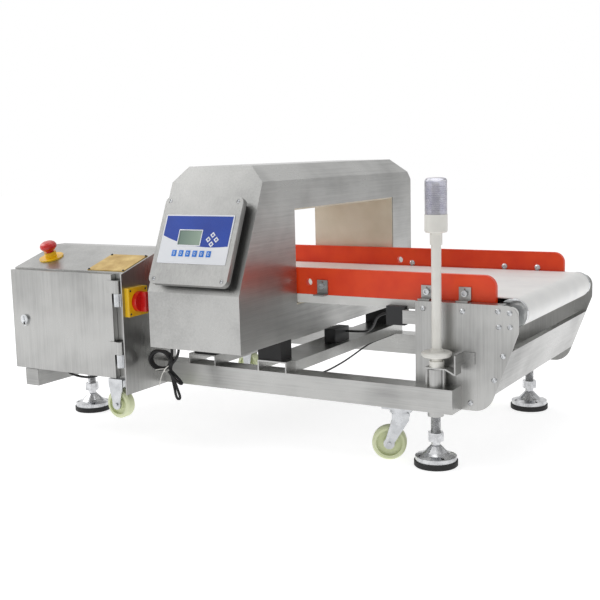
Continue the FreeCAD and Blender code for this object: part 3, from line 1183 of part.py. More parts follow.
NODES = [
    "front_beam", "rear_beam", "cross_tubes", "foot_sleeves", "foot_spindle_front_right",
    "foot_spindle_rear_right", "foot_spindle_front_left", "foot_spindle_rear_left", "foot_pad_front_right",
    "foot_pad_rear_right", "foot_pad_front_left", "foot_pad_rear_left", "side_plates_right", "side_plates_left",
    "aprons", "slider_bed", "bed_rails", "bed_cross_members", "bearing_blocks", "idler_drum", "drive_drum",
    "return_bars", "conveyor_belt", "guide_front", "guide_rear", "guide_brackets", "fasteners", "detector_head",
    "aperture_liner", "head_channels", "isolation_blocks", "enclosure_body", "enclosure_lid", "keypad_membrane",
    "lcd_window", "cabinet_body", "cabinet_door", "hinge_pins", "cam_lock", "estop_base", "estop_button",
    "brass_plate", "isolator_plate", "isolator_knob", "caster_plates", "caster_fork_front", "caster_fork_rear",
    "rigid_forks", "wheel_front_right", "wheel_rear_right", "wheel_front_left", "wheel_rear_left",
    "tower_bracket", "tower_base", "tower_pole", "tower_lens", "photo_sensor", "sensor_bracket",
]

doc.recompute()
for item in doc.Objects:
    if "Invalid" in item.State or "Error" in item.State:
        raise RuntimeError(f"{item.Label} did not build: {item.State}")

pieces = {}
for name in NODES:
    found = doc.getObjectsByLabel(name)
    if len(found) != 1:
        raise RuntimeError(f"{name}: {len(found)} objects carry this label")
    shape = found[0].Shape
    if shape.isNull() or not shape.isValid() or shape.Volume <= 0:
        raise RuntimeError(f"{name} has no sound shape")
    pieces[name] = shape.copy()

# the shared frame starts on the floor under the middle of the machine's footprint
front = min(shape.BoundBox.YMin for shape in pieces.values())
rear = max(shape.BoundBox.YMax for shape in pieces.values())
to_middle = Vector(0, -(front + rear) / 2, 0)
print(f"belt centreline at y {to_middle.y:.4f}")

os.makedirs("parts", exist_ok=True)
for name, shape in pieces.items():
    shape.translate(to_middle)
    shape.exportStep(f"parts/{name}.step")
    bounds = shape.BoundBox
    print(f"{name:26s} x {bounds.XMin:7.1f} {bounds.XMax:7.1f}  y {bounds.YMin:7.1f} {bounds.YMax:7.1f}  "
          f"z {bounds.ZMin:6.1f} {bounds.ZMax:6.1f}  solids {len(shape.Solids)}")
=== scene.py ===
import math

import bpy
from mathutils import Matrix, Vector


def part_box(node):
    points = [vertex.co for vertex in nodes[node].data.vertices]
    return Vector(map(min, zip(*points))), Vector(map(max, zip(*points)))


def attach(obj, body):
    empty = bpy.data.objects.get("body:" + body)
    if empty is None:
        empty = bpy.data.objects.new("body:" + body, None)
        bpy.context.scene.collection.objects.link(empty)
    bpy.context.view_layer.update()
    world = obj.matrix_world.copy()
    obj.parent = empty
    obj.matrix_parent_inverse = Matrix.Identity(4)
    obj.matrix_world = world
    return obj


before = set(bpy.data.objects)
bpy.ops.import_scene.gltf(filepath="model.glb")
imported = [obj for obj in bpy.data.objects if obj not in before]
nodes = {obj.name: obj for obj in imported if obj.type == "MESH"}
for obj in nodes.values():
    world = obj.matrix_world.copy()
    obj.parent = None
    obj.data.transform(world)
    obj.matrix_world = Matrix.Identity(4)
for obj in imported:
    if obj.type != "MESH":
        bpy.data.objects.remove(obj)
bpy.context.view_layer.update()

# Metres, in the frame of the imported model: +X along the belt, +Y away from the operator, +Z up.
MM = 0.001
# the belt runs along the line y = BELT_Y; the frame's origin lies under the middle of the footprint
BELT_Y = 0.067451

# ---------------------------------------------------------------- camera

CAMERA_PLACE = Vector((1.2591, BELT_Y - 2.1537, 0.6422))
LENS_MM, FILM_MM, SIGHT = 60.522, 36, 60
YAW, PITCH, ROLL = math.radians(30.77), math.radians(8.36), math.radians(-1.44)


def add_camera():
    forward = Vector((-math.sin(YAW) * math.cos(PITCH), math.cos(YAW) * math.cos(PITCH), -math.sin(PITCH)))
    level = Vector((math.cos(YAW), math.sin(YAW), 0))
    upright = level.cross(forward)
    right = level * math.cos(ROLL) + upright * math.sin(ROLL)
    up = upright * math.cos(ROLL) - level * math.sin(ROLL)
    data = bpy.data.cameras.new("camera")
    data.sensor_width = FILM_MM
    data.lens = LENS_MM
    data.clip_end = SIGHT
    camera = bpy.data.objects.new("camera", data)
    bpy.context.scene.collection.objects.link(camera)
    turn = Matrix((right, up, -forward)).transposed()
    camera.matrix_world = Matrix.Translation(CAMERA_PLACE) @ turn.to_4x4()
    bpy.context.scene.camera = camera


add_camera()
bpy.context.scene.view_settings.view_transform = "Standard"

# ---------------------------------------------------------------- node and colour helpers


def tone(code):
    """An sRGB hex colour as linear RGBA."""
    levels = [int(code[i:i + 2], 16) / 255 for i in (1, 3, 5)]
    linear = [c / 12.92 if c <= 0.04045 else ((c + 0.055) / 1.055) ** 2.4 for c in levels]
    return (*linear, 1.0)


def node(tree, kind, settings=None, **links):
    """Adds a node, sets its properties and input values, and joins the inputs that are given sockets."""
    item = tree.nodes.new(kind)
    for key, value in (settings or {}).items():
        if isinstance(key, int) or key in item.inputs:
            item.inputs[key].default_value = value
        else:
            setattr(item, key, value)
    for key, socket in links.items():
        name = key.replace("_", " ")
        target = item.inputs[int(key[1:])] if key[0] == "n" and key[1:].isdigit() else item.inputs[name]
        tree.links.new(socket, target)
    return item


def new_finish(name, **settings):
    """A new material: its tree, its shader with the constant values set, and its object coordinates."""
    material = bpy.data.materials.new(name)
    material.use_nodes = True
    tree = material.node_tree
    shader = tree.nodes["Principled BSDF"]
    for key, value in settings.items():
        shader.inputs[key.replace("_", " ")].default_value = value
    place = tree.nodes.new("ShaderNodeTexCoord").outputs["Object"]
    return material, tree, shader, place


def scaled(tree, place, scale):
    return node(tree, "ShaderNodeMapping", {"Scale": scale}, Vector=place).outputs[0]


def noise(tree, place, scale, detail=3, roughness=0.5):
    return node(tree, "ShaderNodeTexNoise", {"Scale": scale, "Detail": detail, "Roughness": roughness},
                Vector=place).outputs[0]


def ramp(tree, value, low, high, at=(0.0, 1.0)):
    """A colour ramp between two sRGB colours."""
    item = node(tree, "ShaderNodeValToRGB", Fac=value)
    first, last = item.color_ramp.elements
    first.position, last.position = at
    first.color, last.color = tone(low), tone(high)
    return item.outputs[0]


def spread(tree, value, low, high, start=0.0, end=1.0):
    return node(tree, "ShaderNodeMapRange", {1: start, 2: end, 3: low, 4: high}, Value=value).outputs[0]


def bump(tree, shader, height, distance, strength=1.0):
    item = node(tree, "ShaderNodeBump", {"Strength": strength, "Distance": distance}, Height=height)
    tree.links.new(item.outputs[0], shader.inputs["Normal"])


# ---------------------------------------------------------------- finishes


def brushed_stainless(name, along, low="#858584", high="#B4B4B2"):
    """304 stainless sheet with a No. 4 belt-polished grain along one axis: soft streaks a few millimetres
    long and under a tenth wide, drawn at half a millimetre so that they show, over slow cloudy changes."""
    material, tree, shader, place = new_finish(name, Metallic=1.0)
    fine = {"x": (22, 1600, 1600), "y": (1600, 22, 1600), "z": (1600, 1600, 22)}[along]
    streak = noise(tree, scaled(tree, place, fine), 1.0, 4, 0.65)
    long_streak = noise(tree, scaled(tree, place, tuple(c / 6 for c in fine)), 1.0, 3, 0.6)
    cloud = noise(tree, place, 5.5, 3, 0.55)
    blend = node(tree, "ShaderNodeMath", {"operation": "MULTIPLY_ADD", 1: 0.45}, n0=streak, n2=cloud).outputs[0]
    both = node(tree, "ShaderNodeMath", {"operation": "MULTIPLY_ADD", 1: 0.35}, n0=long_streak, n2=blend).outputs[0]
    tree.links.new(ramp(tree, both, low, high, (0.5, 1.25)), shader.inputs["Base Color"])
    tree.links.new(spread(tree, both, 0.42, 0.24, 0.6, 1.2), shader.inputs["Roughness"])
    bump(tree, shader, streak, 0.00004, 0.5)
    return material


def plated_steel(name, colour="#C9CBCD", rough=0.22):
    """Bright zinc plate on pressed or turned steel: even, slightly blue, a little worn and uneven in gloss."""
    material, tree, shader, place = new_finish(name, Metallic=1.0)
    patch = noise(tree, place, 60, 4, 0.6)
    tree.links.new(ramp(tree, patch, "#B6B8BA", colour, (0.3, 0.6)), shader.inputs["Base Color"])
    tree.links.new(spread(tree, patch, rough + 0.14, rough, 0.35, 0.65), shader.inputs["Roughness"])
    bump(tree, shader, patch, 0.00002, 0.5)
    return material


def moulded(name, colour, shade, rough=0.4, grain=900, depth=0.00003, coat=0.0):
    """Injection-moulded plastic with a fine spark-eroded grain and a faint unevenness of colour."""
    material, tree, shader, place = new_finish(name, Coat_Weight=coat)
    shader.inputs["IOR"].default_value = 1.5
    patch = noise(tree, place, 18, 3, 0.5)
    tree.links.new(ramp(tree, patch, shade, colour, (0.3, 0.62)), shader.inputs["Base Color"])
    skin = noise(tree, place, grain, 2, 0.5)
    tree.links.new(spread(tree, skin, rough + 0.08, rough - 0.06, 0.3, 0.7), shader.inputs["Roughness"])
    bump(tree, shader, skin, depth, 0.6)
    return material


sheet_x = brushed_stainless("brushed_304_grain_along_x", "x")
sheet_y = brushed_stainless("brushed_304_grain_along_y", "y")
sheet_z = brushed_stainless("brushed_304_grain_along_z", "z")
zinc = plated_steel("bright_zinc_plate")
chrome = plated_steel("hard_chrome", "#DADCDE", 0.1)
orange = moulded("orange_polyethylene_sheet", "#F0460A", "#E43600", 0.42, 500, 0.00004)
belt_skin = moulded("white_polyurethane_belt", "#F2F2F0", "#EBEBEA", 0.45, 1400, 0.00005)
slide_white = moulded("white_uhmw_polyethylene", "#E9E9E6", "#DDDDDA", 0.5)
liner = moulded("beige_glass_fibre_liner", "#E3DCCB", "#D8D0BC", 0.5, 400, 0.00006)
black_rubber = moulded("black_nbr_rubber", "#1B1B1C", "#111112", 0.62, 700, 0.00008)
black_abs = moulded("black_abs", "#1D1E20", "#151617", 0.42)
yellow_abs = moulded("yellow_abs", "#F2C200", "#E6B400", 0.35, coat=0.2)
red_abs = moulded("red_abs", "#D21510", "#BE0E0B", 0.3, coat=0.3)
nylon = moulded("cream_green_cast_nylon", "#DDE3BD", "#D2D9AE", 0.42, 300, 0.00006)
cream_abs = moulded("cream_abs", "#E8E7E1", "#DEDCD5", 0.35, coat=0.15)
film_white = moulded("white_polyester_film", "#EDEFF3", "#E6E9EE", 0.35, 1500, 0.00002)
film_blue = moulded("blue_printed_polyester_film", "#0C41A8", "#09389A", 0.32, 1500, 0.00002)
key_blue = moulded("bright_blue_key_film", "#1E7FE0", "#1772D2", 0.32, 1500, 0.00002)
key_mark = moulded("pale_key_print", "#C9D9EE", "#BFD0E8", 0.35, 1500, 0.00002)

brass, tree, shader, place = new_finish("satin_rolled_brass_plate", Metallic=1.0)
# Thin rolled brass with a satin lacquer: warm, cloudy, with faint rolling lines about a millimetre apart.
cloud = noise(tree, place, 24, 4, 0.6)
tree.links.new(ramp(tree, cloud, "#A8843C", "#D9BC74", (0.3, 0.7)), shader.inputs["Base Color"])
tree.links.new(spread(tree, cloud, 0.42, 0.26), shader.inputs["Roughness"])
bump(tree, shader, noise(tree, scaled(tree, place, (60, 900, 900)), 1.0, 3), 0.00005, 0.5)

screen, tree, shader, place = new_finish("grey_green_lcd_glass", Coat_Weight=0.8)
# Transflective liquid-crystal glass behind a clear window: an even grey-green, with painted shade of the window's
# edge making it darker towards the left side.
lcd_painted_edge_shade = node(tree, "ShaderNodeSeparateXYZ", Vector=place).outputs[0]
tree.links.new(ramp(tree, spread(tree, lcd_painted_edge_shade, 0, 1, -0.044, 0.014), "#5F7A6E", "#93A896"), shader.inputs["Base Color"])
shader.inputs["Roughness"].default_value = 0.25

lens_plastic, tree, shader, place = new_finish("clear_ribbed_polycarbonate", Transmission_Weight=0.85, Roughness=0.22)
shader.inputs["IOR"].default_value = 1.585
haze = noise(tree, place, 90, 2)
tree.links.new(ramp(tree, haze, "#DCDCE8", "#F2F2F8", (0.3, 0.7)), shader.inputs["Base Color"])

spindle_steel, tree, shader, place = new_finish("nickel_plated_turned_steel", Metallic=1.0)
# Turned and nickel-plated steel; the rod above the hexagon carries an M20 thread of 2.5 mm pitch.
height = node(tree, "ShaderNodeSeparateXYZ", Vector=place).outputs[2]
patch = noise(tree, place, 70, 4, 0.6)
tree.links.new(ramp(tree, patch, "#B2B3B5", "#D3D4D6", (0.3, 0.62)), shader.inputs["Base Color"])
tree.links.new(spread(tree, patch, 0.34, 0.16, 0.35, 0.65), shader.inputs["Roughness"])
turns = node(tree, "ShaderNodeMath", {"operation": "SINE"},
             n0=node(tree, "ShaderNodeMath", {"operation": "MULTIPLY", 1: math.tau / 0.0025}, n0=height).outputs[0])
above = node(tree, "ShaderNodeMath", {"operation": "GREATER_THAN", 1: 0.0702}, n0=height)
thread = node(tree, "ShaderNodeMath", {"operation": "MULTIPLY"}, n0=turns.outputs[0], n1=above.outputs[0])
bump(tree, shader, thread.outputs[0], 0.0006, 1.0)

FINISHES = {
    sheet_x: ["front_beam", "rear_beam", "head_channels", "slider_bed", "guide_brackets", "sensor_bracket"],
    sheet_y: ["detector_head", "cross_tubes", "aprons", "bed_cross_members", "tower_bracket"],
    sheet_z: ["side_plates_right", "side_plates_left", "cabinet_body", "cabinet_door", "enclosure_lid",
              "foot_sleeves"],
    zinc: ["fasteners", "hinge_pins", "caster_plates", "caster_fork_front", "caster_fork_rear", "rigid_forks"],
    chrome: ["idler_drum", "drive_drum", "cam_lock"],
    spindle_steel: ["foot_spindle_front_right", "foot_spindle_rear_right", "foot_spindle_front_left",
                    "foot_spindle_rear_left"],
    # the enclosure body is black rubber: partly the real gasket under the lid, partly painted shade in the gap
    # between the lid and the sloped face
    black_rubber: ["foot_pad_front_right", "foot_pad_rear_right", "foot_pad_front_left", "foot_pad_rear_left",
                   "isolation_blocks", "enclosure_body"],
    belt_skin: ["conveyor_belt"],
    slide_white: ["bed_rails", "bearing_blocks", "return_bars"],
    orange: ["guide_front", "guide_rear"],
    liner: ["aperture_liner"],
    film_white: ["keypad_membrane"],
    screen: ["lcd_window"],
    yellow_abs: ["estop_base", "isolator_plate"],
    red_abs: ["estop_button", "isolator_knob"],
    brass: ["brass_plate"],
    nylon: ["wheel_front_right", "wheel_rear_right", "wheel_front_left", "wheel_rear_left"],
    cream_abs: ["tower_base", "tower_pole"],
    lens_plastic: ["tower_lens"],
    black_abs: ["photo_sensor"],
}
for material, names in FINISHES.items():
    for name in names:
        for index in range(len(nodes[name].material_slots)):
            nodes[name].material_slots[index].material = material

# ---------------------------------------------------------------- modelling helpers


def pick_none():
    if bpy.context.mode != "OBJECT":
        bpy.ops.object.mode_set(mode="OBJECT")
    bpy.ops.object.select_all(action="DESELECT")


def finish_piece(piece, name, finish, body, place=None, smooth=35):
    """Names a piece, lays it in its place, gives it its finish and the body it moves with."""
    pick_none()
    bpy.context.view_layer.objects.active = piece
    piece.select_set(True)
    if place is not None:
        piece.matrix_world = place @ piece.matrix_world
    bpy.ops.object.transform_apply(location=True, rotation=True, scale=True)
    piece.name = name
    piece.data.materials.clear()
    piece.data.materials.append(finish)
    bpy.ops.object.shade_smooth_by_angle(angle=math.radians(smooth))
    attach(piece, body)
    return piece


def bevelled(piece, width, segments=3, angle=30):
    """Rounds the sharp edges of a piece with an applied bevel."""
    pick_none()
    bpy.context.view_layer.objects.active = piece
    piece.select_set(True)
    modifier = piece.modifiers.new("edge", "BEVEL")
    modifier.width = width
    modifier.segments = segments
    modifier.limit_method = "ANGLE"
    modifier.angle_limit = math.radians(angle)
    bpy.ops.object.modifier_apply(modifier=modifier.name)
    return piece


def block(low, high, round_edges=0.0, segments=3):
    """A solid block between two corners, with rounded edges."""
    pick_none()
    low, high = Vector(low), Vector(high)
    bpy.ops.mesh.primitive_cube_add(size=1, location=(low + high) / 2, scale=high - low)
    piece = bpy.context.object
    bpy.ops.object.transform_apply(location=True, rotation=True, scale=True)
    return bevelled(piece, round_edges, segments) if round_edges else piece


def turned(steps, sides=48):
    """A turned piece about +Z: a disc extruded and resized through (radius, height) steps."""
    pick_none()
    radius, height = steps[0]
    bpy.ops.mesh.primitive_circle_add(vertices=sides, radius=radius, fill_type="NGON", location=(0, 0, 0))
    piece = bpy.context.object
    bpy.ops.object.mode_set(mode="EDIT")
    bpy.ops.mesh.select_all(action="SELECT")
    bpy.ops.transform.translate(value=(0, 0, height))
    for next_radius, next_height in steps[1:]:
        bpy.ops.mesh.extrude_region_move(TRANSFORM_OT_translate={"value": (0, 0, next_height - height)})
        factor = next_radius / radius
        bpy.ops.transform.resize(value=(factor, factor, 1), center_override=(0, 0, next_height))
        radius, height = next_radius, next_height
    bpy.ops.mesh.select_all(action="SELECT")
    bpy.ops.mesh.normals_make_consistent(inside=False)
    bpy.ops.object.mode_set(mode="OBJECT")
    return piece


def ring(major, minor, height=0.0, sides=48):
    pick_none()
    bpy.ops.mesh.primitive_torus_add(major_radius=major, minor_radius=minor, major_segments=sides,
                                     minor_segments=12, location=(0, 0, height))
    return bpy.context.object


def joined(pieces):
    pick_none()
    for piece in pieces:
        piece.select_set(True)
    bpy.context.view_layer.objects.active = pieces[0]
    bpy.ops.object.join()
    return bpy.context.object


def copies(piece, places):
    """Copies of a piece at each place, joined into one; the first piece is used up."""
    made = []
    for place in places:
        copy = piece.copy()
        copy.data = piece.data.copy()
        bpy.context.scene.collection.objects.link(copy)
        copy.matrix_world = place @ piece.matrix_world
        made.append(copy)
    bpy.data.objects.remove(piece)
    return joined(made)


def shift(x, y, z):
    return Matrix.Translation((x, y, z))


def facing(direction):
    """Turns +Z towards a direction."""
    return Vector(direction).to_track_quat("Z", "Y").to_matrix().to_4x4()


# the two sloped planes that pieces are laid on: x across, y up the slope, z square to it
FACE = shift(0, BELT_Y - 0.478, 0.354) @ Matrix.Rotation(math.radians(66), 4, "X")
SHELF = shift(0, BELT_Y - 0.449, 0.388) @ Matrix.Rotation(math.atan2(42, 139), 4, "X")
LID_TOP = 0.028
FILM_TOP = LID_TOP + 0.001

# ---------------------------------------------------------------- control enclosure


def pan_screw(radius, rise):
    """A domed screw head with a round recess sunk in it."""
    return turned([(radius, 0), (radius, rise * 0.35), (radius * 0.86, rise * 0.72), (radius * 0.55, rise),
                   (radius * 0.42, rise), (radius * 0.34, rise * 0.45)], 24)


for side_x in (-1, 1):
    for side_y in (-1, 1):
        spot = FACE @ shift(0.087 * side_x, 0.109 + 0.087 * side_y, LID_TOP - 0.002)
        tag = f"lid_screw_{'left' if side_x < 0 else 'right'}_{'low' if side_y < 0 else 'high'}"
        finish_piece(pan_screw(0.0042, 0.0035), tag, chrome, "machine", spot)

# the blue field: a thin film whose lower edge is a shallow bow, cut by a large round
FIELD_HALF = 0.085
FIELD_LOW, FIELD_TOP = 0.090, 0.162
BOW_X, BOW_RADIUS = 0.040, 0.340
field = block((-FIELD_HALF, FIELD_LOW, FILM_TOP), (FIELD_HALF, FIELD_TOP, FILM_TOP + 0.00014))
pick_none()
bpy.ops.mesh.primitive_cylinder_add(vertices=256, radius=BOW_RADIUS, depth=0.01,
                                    location=(BOW_X, 0.094 + BOW_RADIUS, FILM_TOP))
bow = bpy.context.object
keep = field.modifiers.new("bow", "BOOLEAN")
keep.operation = "INTERSECT"
keep.object = bow
bpy.context.view_layer.objects.active = field
bpy.ops.object.modifier_apply(modifier=keep.name)
bpy.data.objects.remove(bow)
# the film is left clear over the display
DISPLAY_LOW, DISPLAY_HIGH = (-0.0435, 0.098), (0.0135, 0.130)
window = block((*DISPLAY_LOW, FILM_TOP - 0.002), (*DISPLAY_HIGH, FILM_TOP + 0.002))
cut = field.modifiers.new("window", "BOOLEAN")
cut.operation = "DIFFERENCE"
cut.object = window
bpy.context.view_layer.objects.active = field
bpy.ops.object.modifier_apply(modifier=cut.name)
bpy.data.objects.remove(window)
finish_piece(field, "keypad_blue_field", film_blue, "machine", FACE)

for index in range(6):
    x = -0.047 + 0.0177 * index
    key = block((x - 0.0058, 0.0725, FILM_TOP), (x + 0.0058, 0.0860, FILM_TOP + 0.0007), 0.0006)
    finish_piece(key, f"function_key_{index + 1}", key_blue, "machine", FACE)
    mark = ring(0.0024, 0.0007, FILM_TOP + 0.0006, 20)
    mark.scale = (0.8, 1.25, 0.3)
    finish_piece(mark, f"function_key_print_{index + 1}", key_mark, "machine", FACE @ shift(x, 0.0792, 0.0002))

for tag, x, y in (("up", 0.043, 0.121), ("left", 0.0335, 0.111), ("right", 0.0535, 0.111), ("down", 0.043, 0.101)):
    key = block((-0.0047, -0.0047, FILM_TOP), (0.0047, 0.0047, FILM_TOP + 0.0007), 0.0006)
    finish_piece(key, f"arrow_key_{tag}", film_white, "machine",
                 FACE @ shift(x, y, 0) @ Matrix.Rotation(math.radians(45), 4, "Z"))
    centre = block((-0.0020, -0.0020, FILM_TOP + 0.0006), (0.0020, 0.0020, FILM_TOP + 0.0009), 0.0001, 1)
    finish_piece(centre, f"arrow_print_{tag}", film_blue, "machine",
                 FACE @ shift(x, y, 0) @ Matrix.Rotation(math.radians(45), 4, "Z"))

# the frame round the display: a thin pale bezel, with the shaded edge of the recess inside it
low, high = DISPLAY_LOW, DISPLAY_HIGH
bars = [
    block((low[0] - 0.002, low[1] - 0.002, FILM_TOP), (high[0] + 0.002, low[1], FILM_TOP + 0.0008), 0.0003),
    block((low[0] - 0.002, high[1], FILM_TOP), (high[0] + 0.002, high[1] + 0.002, FILM_TOP + 0.0008), 0.0003),
    block((low[0] - 0.002, low[1], FILM_TOP), (low[0], high[1], FILM_TOP + 0.0008), 0.0003),
    block((high[0], low[1], FILM_TOP), (high[0] + 0.002, high[1], FILM_TOP + 0.0008), 0.0003),
]
finish_piece(joined(bars), "display_bezel", film_white, "machine", FACE)

# ---------------------------------------------------------------- cabinet fittings

brass_corners = [(-0.314, 0.007), (-0.214, 0.007), (-0.314, 0.091), (-0.214, 0.091)]
finish_piece(copies(pan_screw(0.0028, 0.0018), [shift(x, y, 0.0015) for x, y in brass_corners]),
             "brass_plate_screws", black_abs, "machine", SHELF)

lock_low, lock_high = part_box("cam_lock")
lock_spot = shift((lock_low.x + lock_high.x) / 2, lock_low.y, (lock_low.z + lock_high.z) / 2) @ facing((0, -1, 0))
finish_piece(turned([(0.0032, -0.0004), (0.0032, 0.0002)], 24), "lock_keyway", black_abs, "cam_lock", lock_spot)
finish_piece(ring(0.0062, 0.0007, 0.0001), "lock_rim", chrome, "cam_lock", lock_spot)

# four screws hold the isolator's plate to the cabinet's side
plate_low, plate_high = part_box("isolator_plate")
SCREW_INSET = 0.006
plate_corners = [shift(plate_high.x, y, z) @ facing((1, 0, 0))
                 for y in (plate_low.y + SCREW_INSET, plate_high.y - SCREW_INSET)
                 for z in (plate_low.z + SCREW_INSET, plate_high.z - SCREW_INSET)]
finish_piece(copies(pan_screw(0.0024, 0.0012), plate_corners), "isolator_plate_screws", black_abs, "machine")

# ---------------------------------------------------------------- signal tower

tower_low, tower_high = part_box("tower_lens")
tower_x = (tower_low.x + tower_high.x) / 2
tower_y = (tower_low.y + tower_high.y) / 2
column = turned([(0.008, tower_low.z), (0.008, tower_low.z + 0.03), (0.011, tower_low.z + 0.031),
                 (0.011, tower_low.z + 0.034), (0.008, tower_low.z + 0.035), (0.008, tower_high.z - 0.012),
                 (0.004, tower_high.z - 0.009)], 24)
finish_piece(column, "lamp_column", cream_abs, "machine", shift(tower_x, tower_y, 0))

# the left cross tube's front end is closed by a welded plate
CAP_THICK = 0.002
tube_low, tube_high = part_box("cross_tubes")
finish_piece(block((-0.52, tube_low.y - CAP_THICK, 0.107), (-0.48, tube_low.y, 0.147), 0.0004),
             "cross_tube_end_cap", sheet_x, "machine")

# the lens is ribbed all round
RIB_PITCH = 0.0042
ribs = [shift(tower_x, tower_y, tower_low.z + 0.008 + RIB_PITCH * step) for step in range(12)]
finish_piece(copies(ring((tower_high.x - tower_low.x) / 2, 0.0005), ribs), "lens_ribs", lens_plastic, "machine")

# ---------------------------------------------------------------- leads and the spare cable


def cable(name, points, thickness, finish, smooth=60):
    """A held lead through points given in mm from the belt's centreline, as a round tube."""
    pick_none()
    bpy.ops.curve.primitive_nurbs_path_add(location=(0, 0, 0))
    path = bpy.context.object
    data = path.data
    data.splines.clear()
    spline = data.splines.new("NURBS")
    spline.points.add(len(points) - 1)
    for corner, (x, y, z) in zip(spline.points, points):
        corner.co = (x * MM, y * MM + BELT_Y, z * MM, 1)
    spline.order_u = 3
    spline.use_endpoint_u = True
    data.resolution_u = 8
    data.bevel_depth = thickness * MM / 2
    data.bevel_resolution = 3
    data.use_fill_caps = True
    pick_none()
    path.select_set(True)
    bpy.context.view_layer.objects.active = path
    bpy.ops.object.convert(target="MESH")
    return finish_piece(bpy.context.object, name, finish, "machine", smooth=smooth)


SENSOR_LEAD = [
    (128.1, -40, 212), (158, -40, 213), (200, -78, 222), (240, -135, 238), (278, -192, 258),
    (318, -252, 296), (342.3, -254.5, 300.9),
]
HANGING_LEAD = [
    (166, -275, 152), (163, -240, 150), (157, -185, 147), (151, -130, 147), (146, -76, 149),
    (141.5, -26, 153), (138.5, 16, 157.5), (137.3, 52, 161.5), (137, 84, 163.9), (136.6, 124, 163.9),
    (137.4, 162, 163.9), (137, 200, 163.9),
]
CABINET_LEAD = [
    (-472, -380, 145.6), (-463, -380, 131), (-448, -380, 123), (-424, -380, 119.5), (-399, -380, 119),
    (-374, -380, 122), (-357.5, -380, 130.5), (-348.5, -380, 145.6),
]
cable("sensor_lead", SENSOR_LEAD, 5.5, black_rubber)
cable("hanging_lead", HANGING_LEAD, 4, black_rubber)
cable("cabinet_lead", CABINET_LEAD, 5.5, black_rubber)

# the spare cable: down from the head, four turns of a flat coil, a folded bundle, an end loop and back up
COIL_X, COIL_Z = -153, 187
COIL_WIDE, COIL_HIGH = 30, 21
COIL_TURNS, COIL_STEPS = 4, 12
hank = [(-123, -398, 232.4), (-123, -398, 216), (-121, -400, 199)]
for step in range(COIL_TURNS * COIL_STEPS + 1):
    turn = math.tau * step / COIL_STEPS
    slack = 1.6 * math.sin(step * 0.9)
    hank.append((COIL_X + (COIL_WIDE + slack) * math.cos(turn), -408 + 0.3 * step,
                 COIL_Z + (COIL_HIGH + slack) * math.sin(turn)))
hank += [(-134, -400, 170), (-118, -397, 155), (-100, -399, 142), (-95, -401, 136), (-103, -404, 138),
         (-134, -404, 167), (-119, -401, 148), (-109, -400, 120), (-103, -399, 103), (-110, -399, 99),
         (-115, -400, 106), (-117, -402, 128), (-133, -396, 172), (-113, -396, 190), (-104, -396, 211),
         (-103.6, -396, 232.4)]
cable("cable_hank", hank, 6, black_rubber)
cable("hank_tie_tail_left", [(-136, -409, 169), (-150, -411, 168), (-163, -409, 164)], 1.8, cream_abs)
cable("hank_tie_tail_low", [(-136, -409, 168), (-148, -411, 152), (-153.6, -409, 128)], 1.8, cream_abs)
tie = ring(0.0105, 0.0013)
tie_spot = shift(-0.134, BELT_Y - 0.401, 0.169) @ facing((1, 0, -0.85))
finish_piece(tie, "hank_tie", cream_abs, "machine", tie_spot)

# the junction box that the sensor's lead comes from
box_low, box_high = (0.098, BELT_Y - 0.095, 0.190), (0.128, BELT_Y - 0.025, 0.224)
finish_piece(block(box_low, box_high, 0.0015), "junction_box", black_abs, "machine")

# ---------------------------------------------------------------- floor, backdrop and light


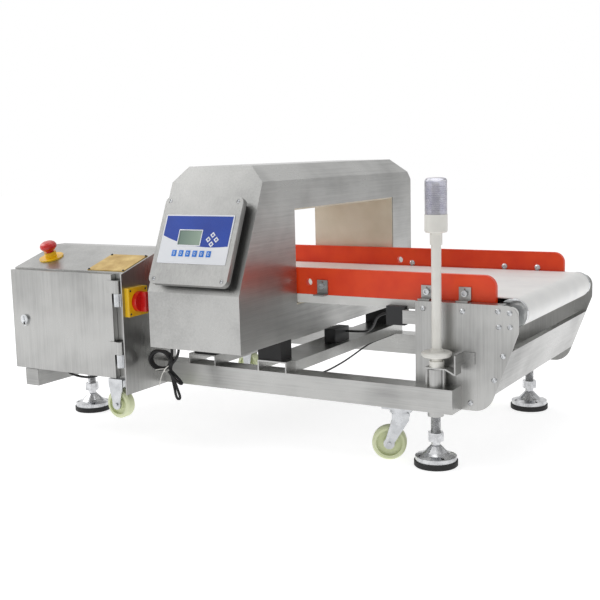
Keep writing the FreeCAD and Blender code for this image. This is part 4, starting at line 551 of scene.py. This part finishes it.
def add_floor():
    pick_none()
    bpy.ops.mesh.primitive_plane_add(size=24, location=(0, 0, 0))
    floor = bpy.context.object
    floor.name = "floor"
    material = bpy.data.materials.new("white_studio_floor")
    material.use_nodes = True
    tree = material.node_tree
    tree.nodes.clear()
    output = tree.nodes.new("ShaderNodeOutputMaterial")
    matte = node(tree, "ShaderNodeBsdfDiffuse", {"Color": (0.55, 0.55, 0.56, 1)})
    glow = node(tree, "ShaderNodeEmission", {"Color": (1, 1, 1, 1), "Strength": 0.77})
    total = node(tree, "ShaderNodeAddShader", n0=matte.outputs[0], n1=glow.outputs[0])
    tree.links.new(total.outputs[0], output.inputs["Surface"])
    floor.data.materials.append(material)


def add_world():
    world = bpy.data.worlds.new("studio")
    bpy.context.scene.world = world
    world.use_nodes = True
    tree = world.node_tree
    tree.nodes.clear()
    path = tree.nodes.new("ShaderNodeLightPath")
    seen = node(tree, "ShaderNodeMath", {"operation": "MAXIMUM"}, n0=path.outputs["Is Camera Ray"],
                n1=path.outputs["Is Transmission Ray"])
    lit = node(tree, "ShaderNodeBackground", {"Color": (1, 1, 1, 1), "Strength": 0.45})
    shown = node(tree, "ShaderNodeBackground", {"Color": (1, 1, 1, 1), "Strength": 1.0})
    # what the metal mirrors: a studio that is brighter on the left and overhead than on the right
    way = node(tree, "ShaderNodeSeparateXYZ", Vector=tree.nodes.new("ShaderNodeTexCoord").outputs["Generated"])
    tilt = node(tree, "ShaderNodeMath", {"operation": "MULTIPLY_ADD", 1: -1.2}, n0=way.outputs[0], n2=way.outputs[2])
    level = spread(tree, tilt.outputs[0], 0.35, 1.0, -1.0, 1.0)
    mirrored = node(tree, "ShaderNodeBackground", {"Color": (1, 1, 1, 1)}, Strength=level)
    lights = node(tree, "ShaderNodeMixShader", n0=path.outputs["Is Glossy Ray"], n1=lit.outputs[0],
                  n2=mirrored.outputs[0])
    mix = node(tree, "ShaderNodeMixShader", n0=seen.outputs[0], n1=lights.outputs[0], n2=shown.outputs[0])
    output = tree.nodes.new("ShaderNodeOutputWorld")
    tree.links.new(mix.outputs[0], output.inputs["Surface"])


def add_lamp(name, place, aim, size, power):
    data = bpy.data.lights.new(name, "AREA")
    data.shape = "SQUARE"
    data.size = size
    data.energy = power
    lamp = bpy.data.objects.new(name, data)
    bpy.context.scene.collection.objects.link(lamp)
    lamp.location = place
    lamp.rotation_euler = (Vector(aim) - Vector(place)).to_track_quat("-Z", "Y").to_euler()


add_floor()
add_world()
add_lamp("key_softbox", (-3.0, -0.8, 2.4), (0, 0, 0.3), 2.4, 55)
add_lamp("top_softbox", (0.3, 0.4, 2.9), (0, 0, 0.3), 2.4, 20)
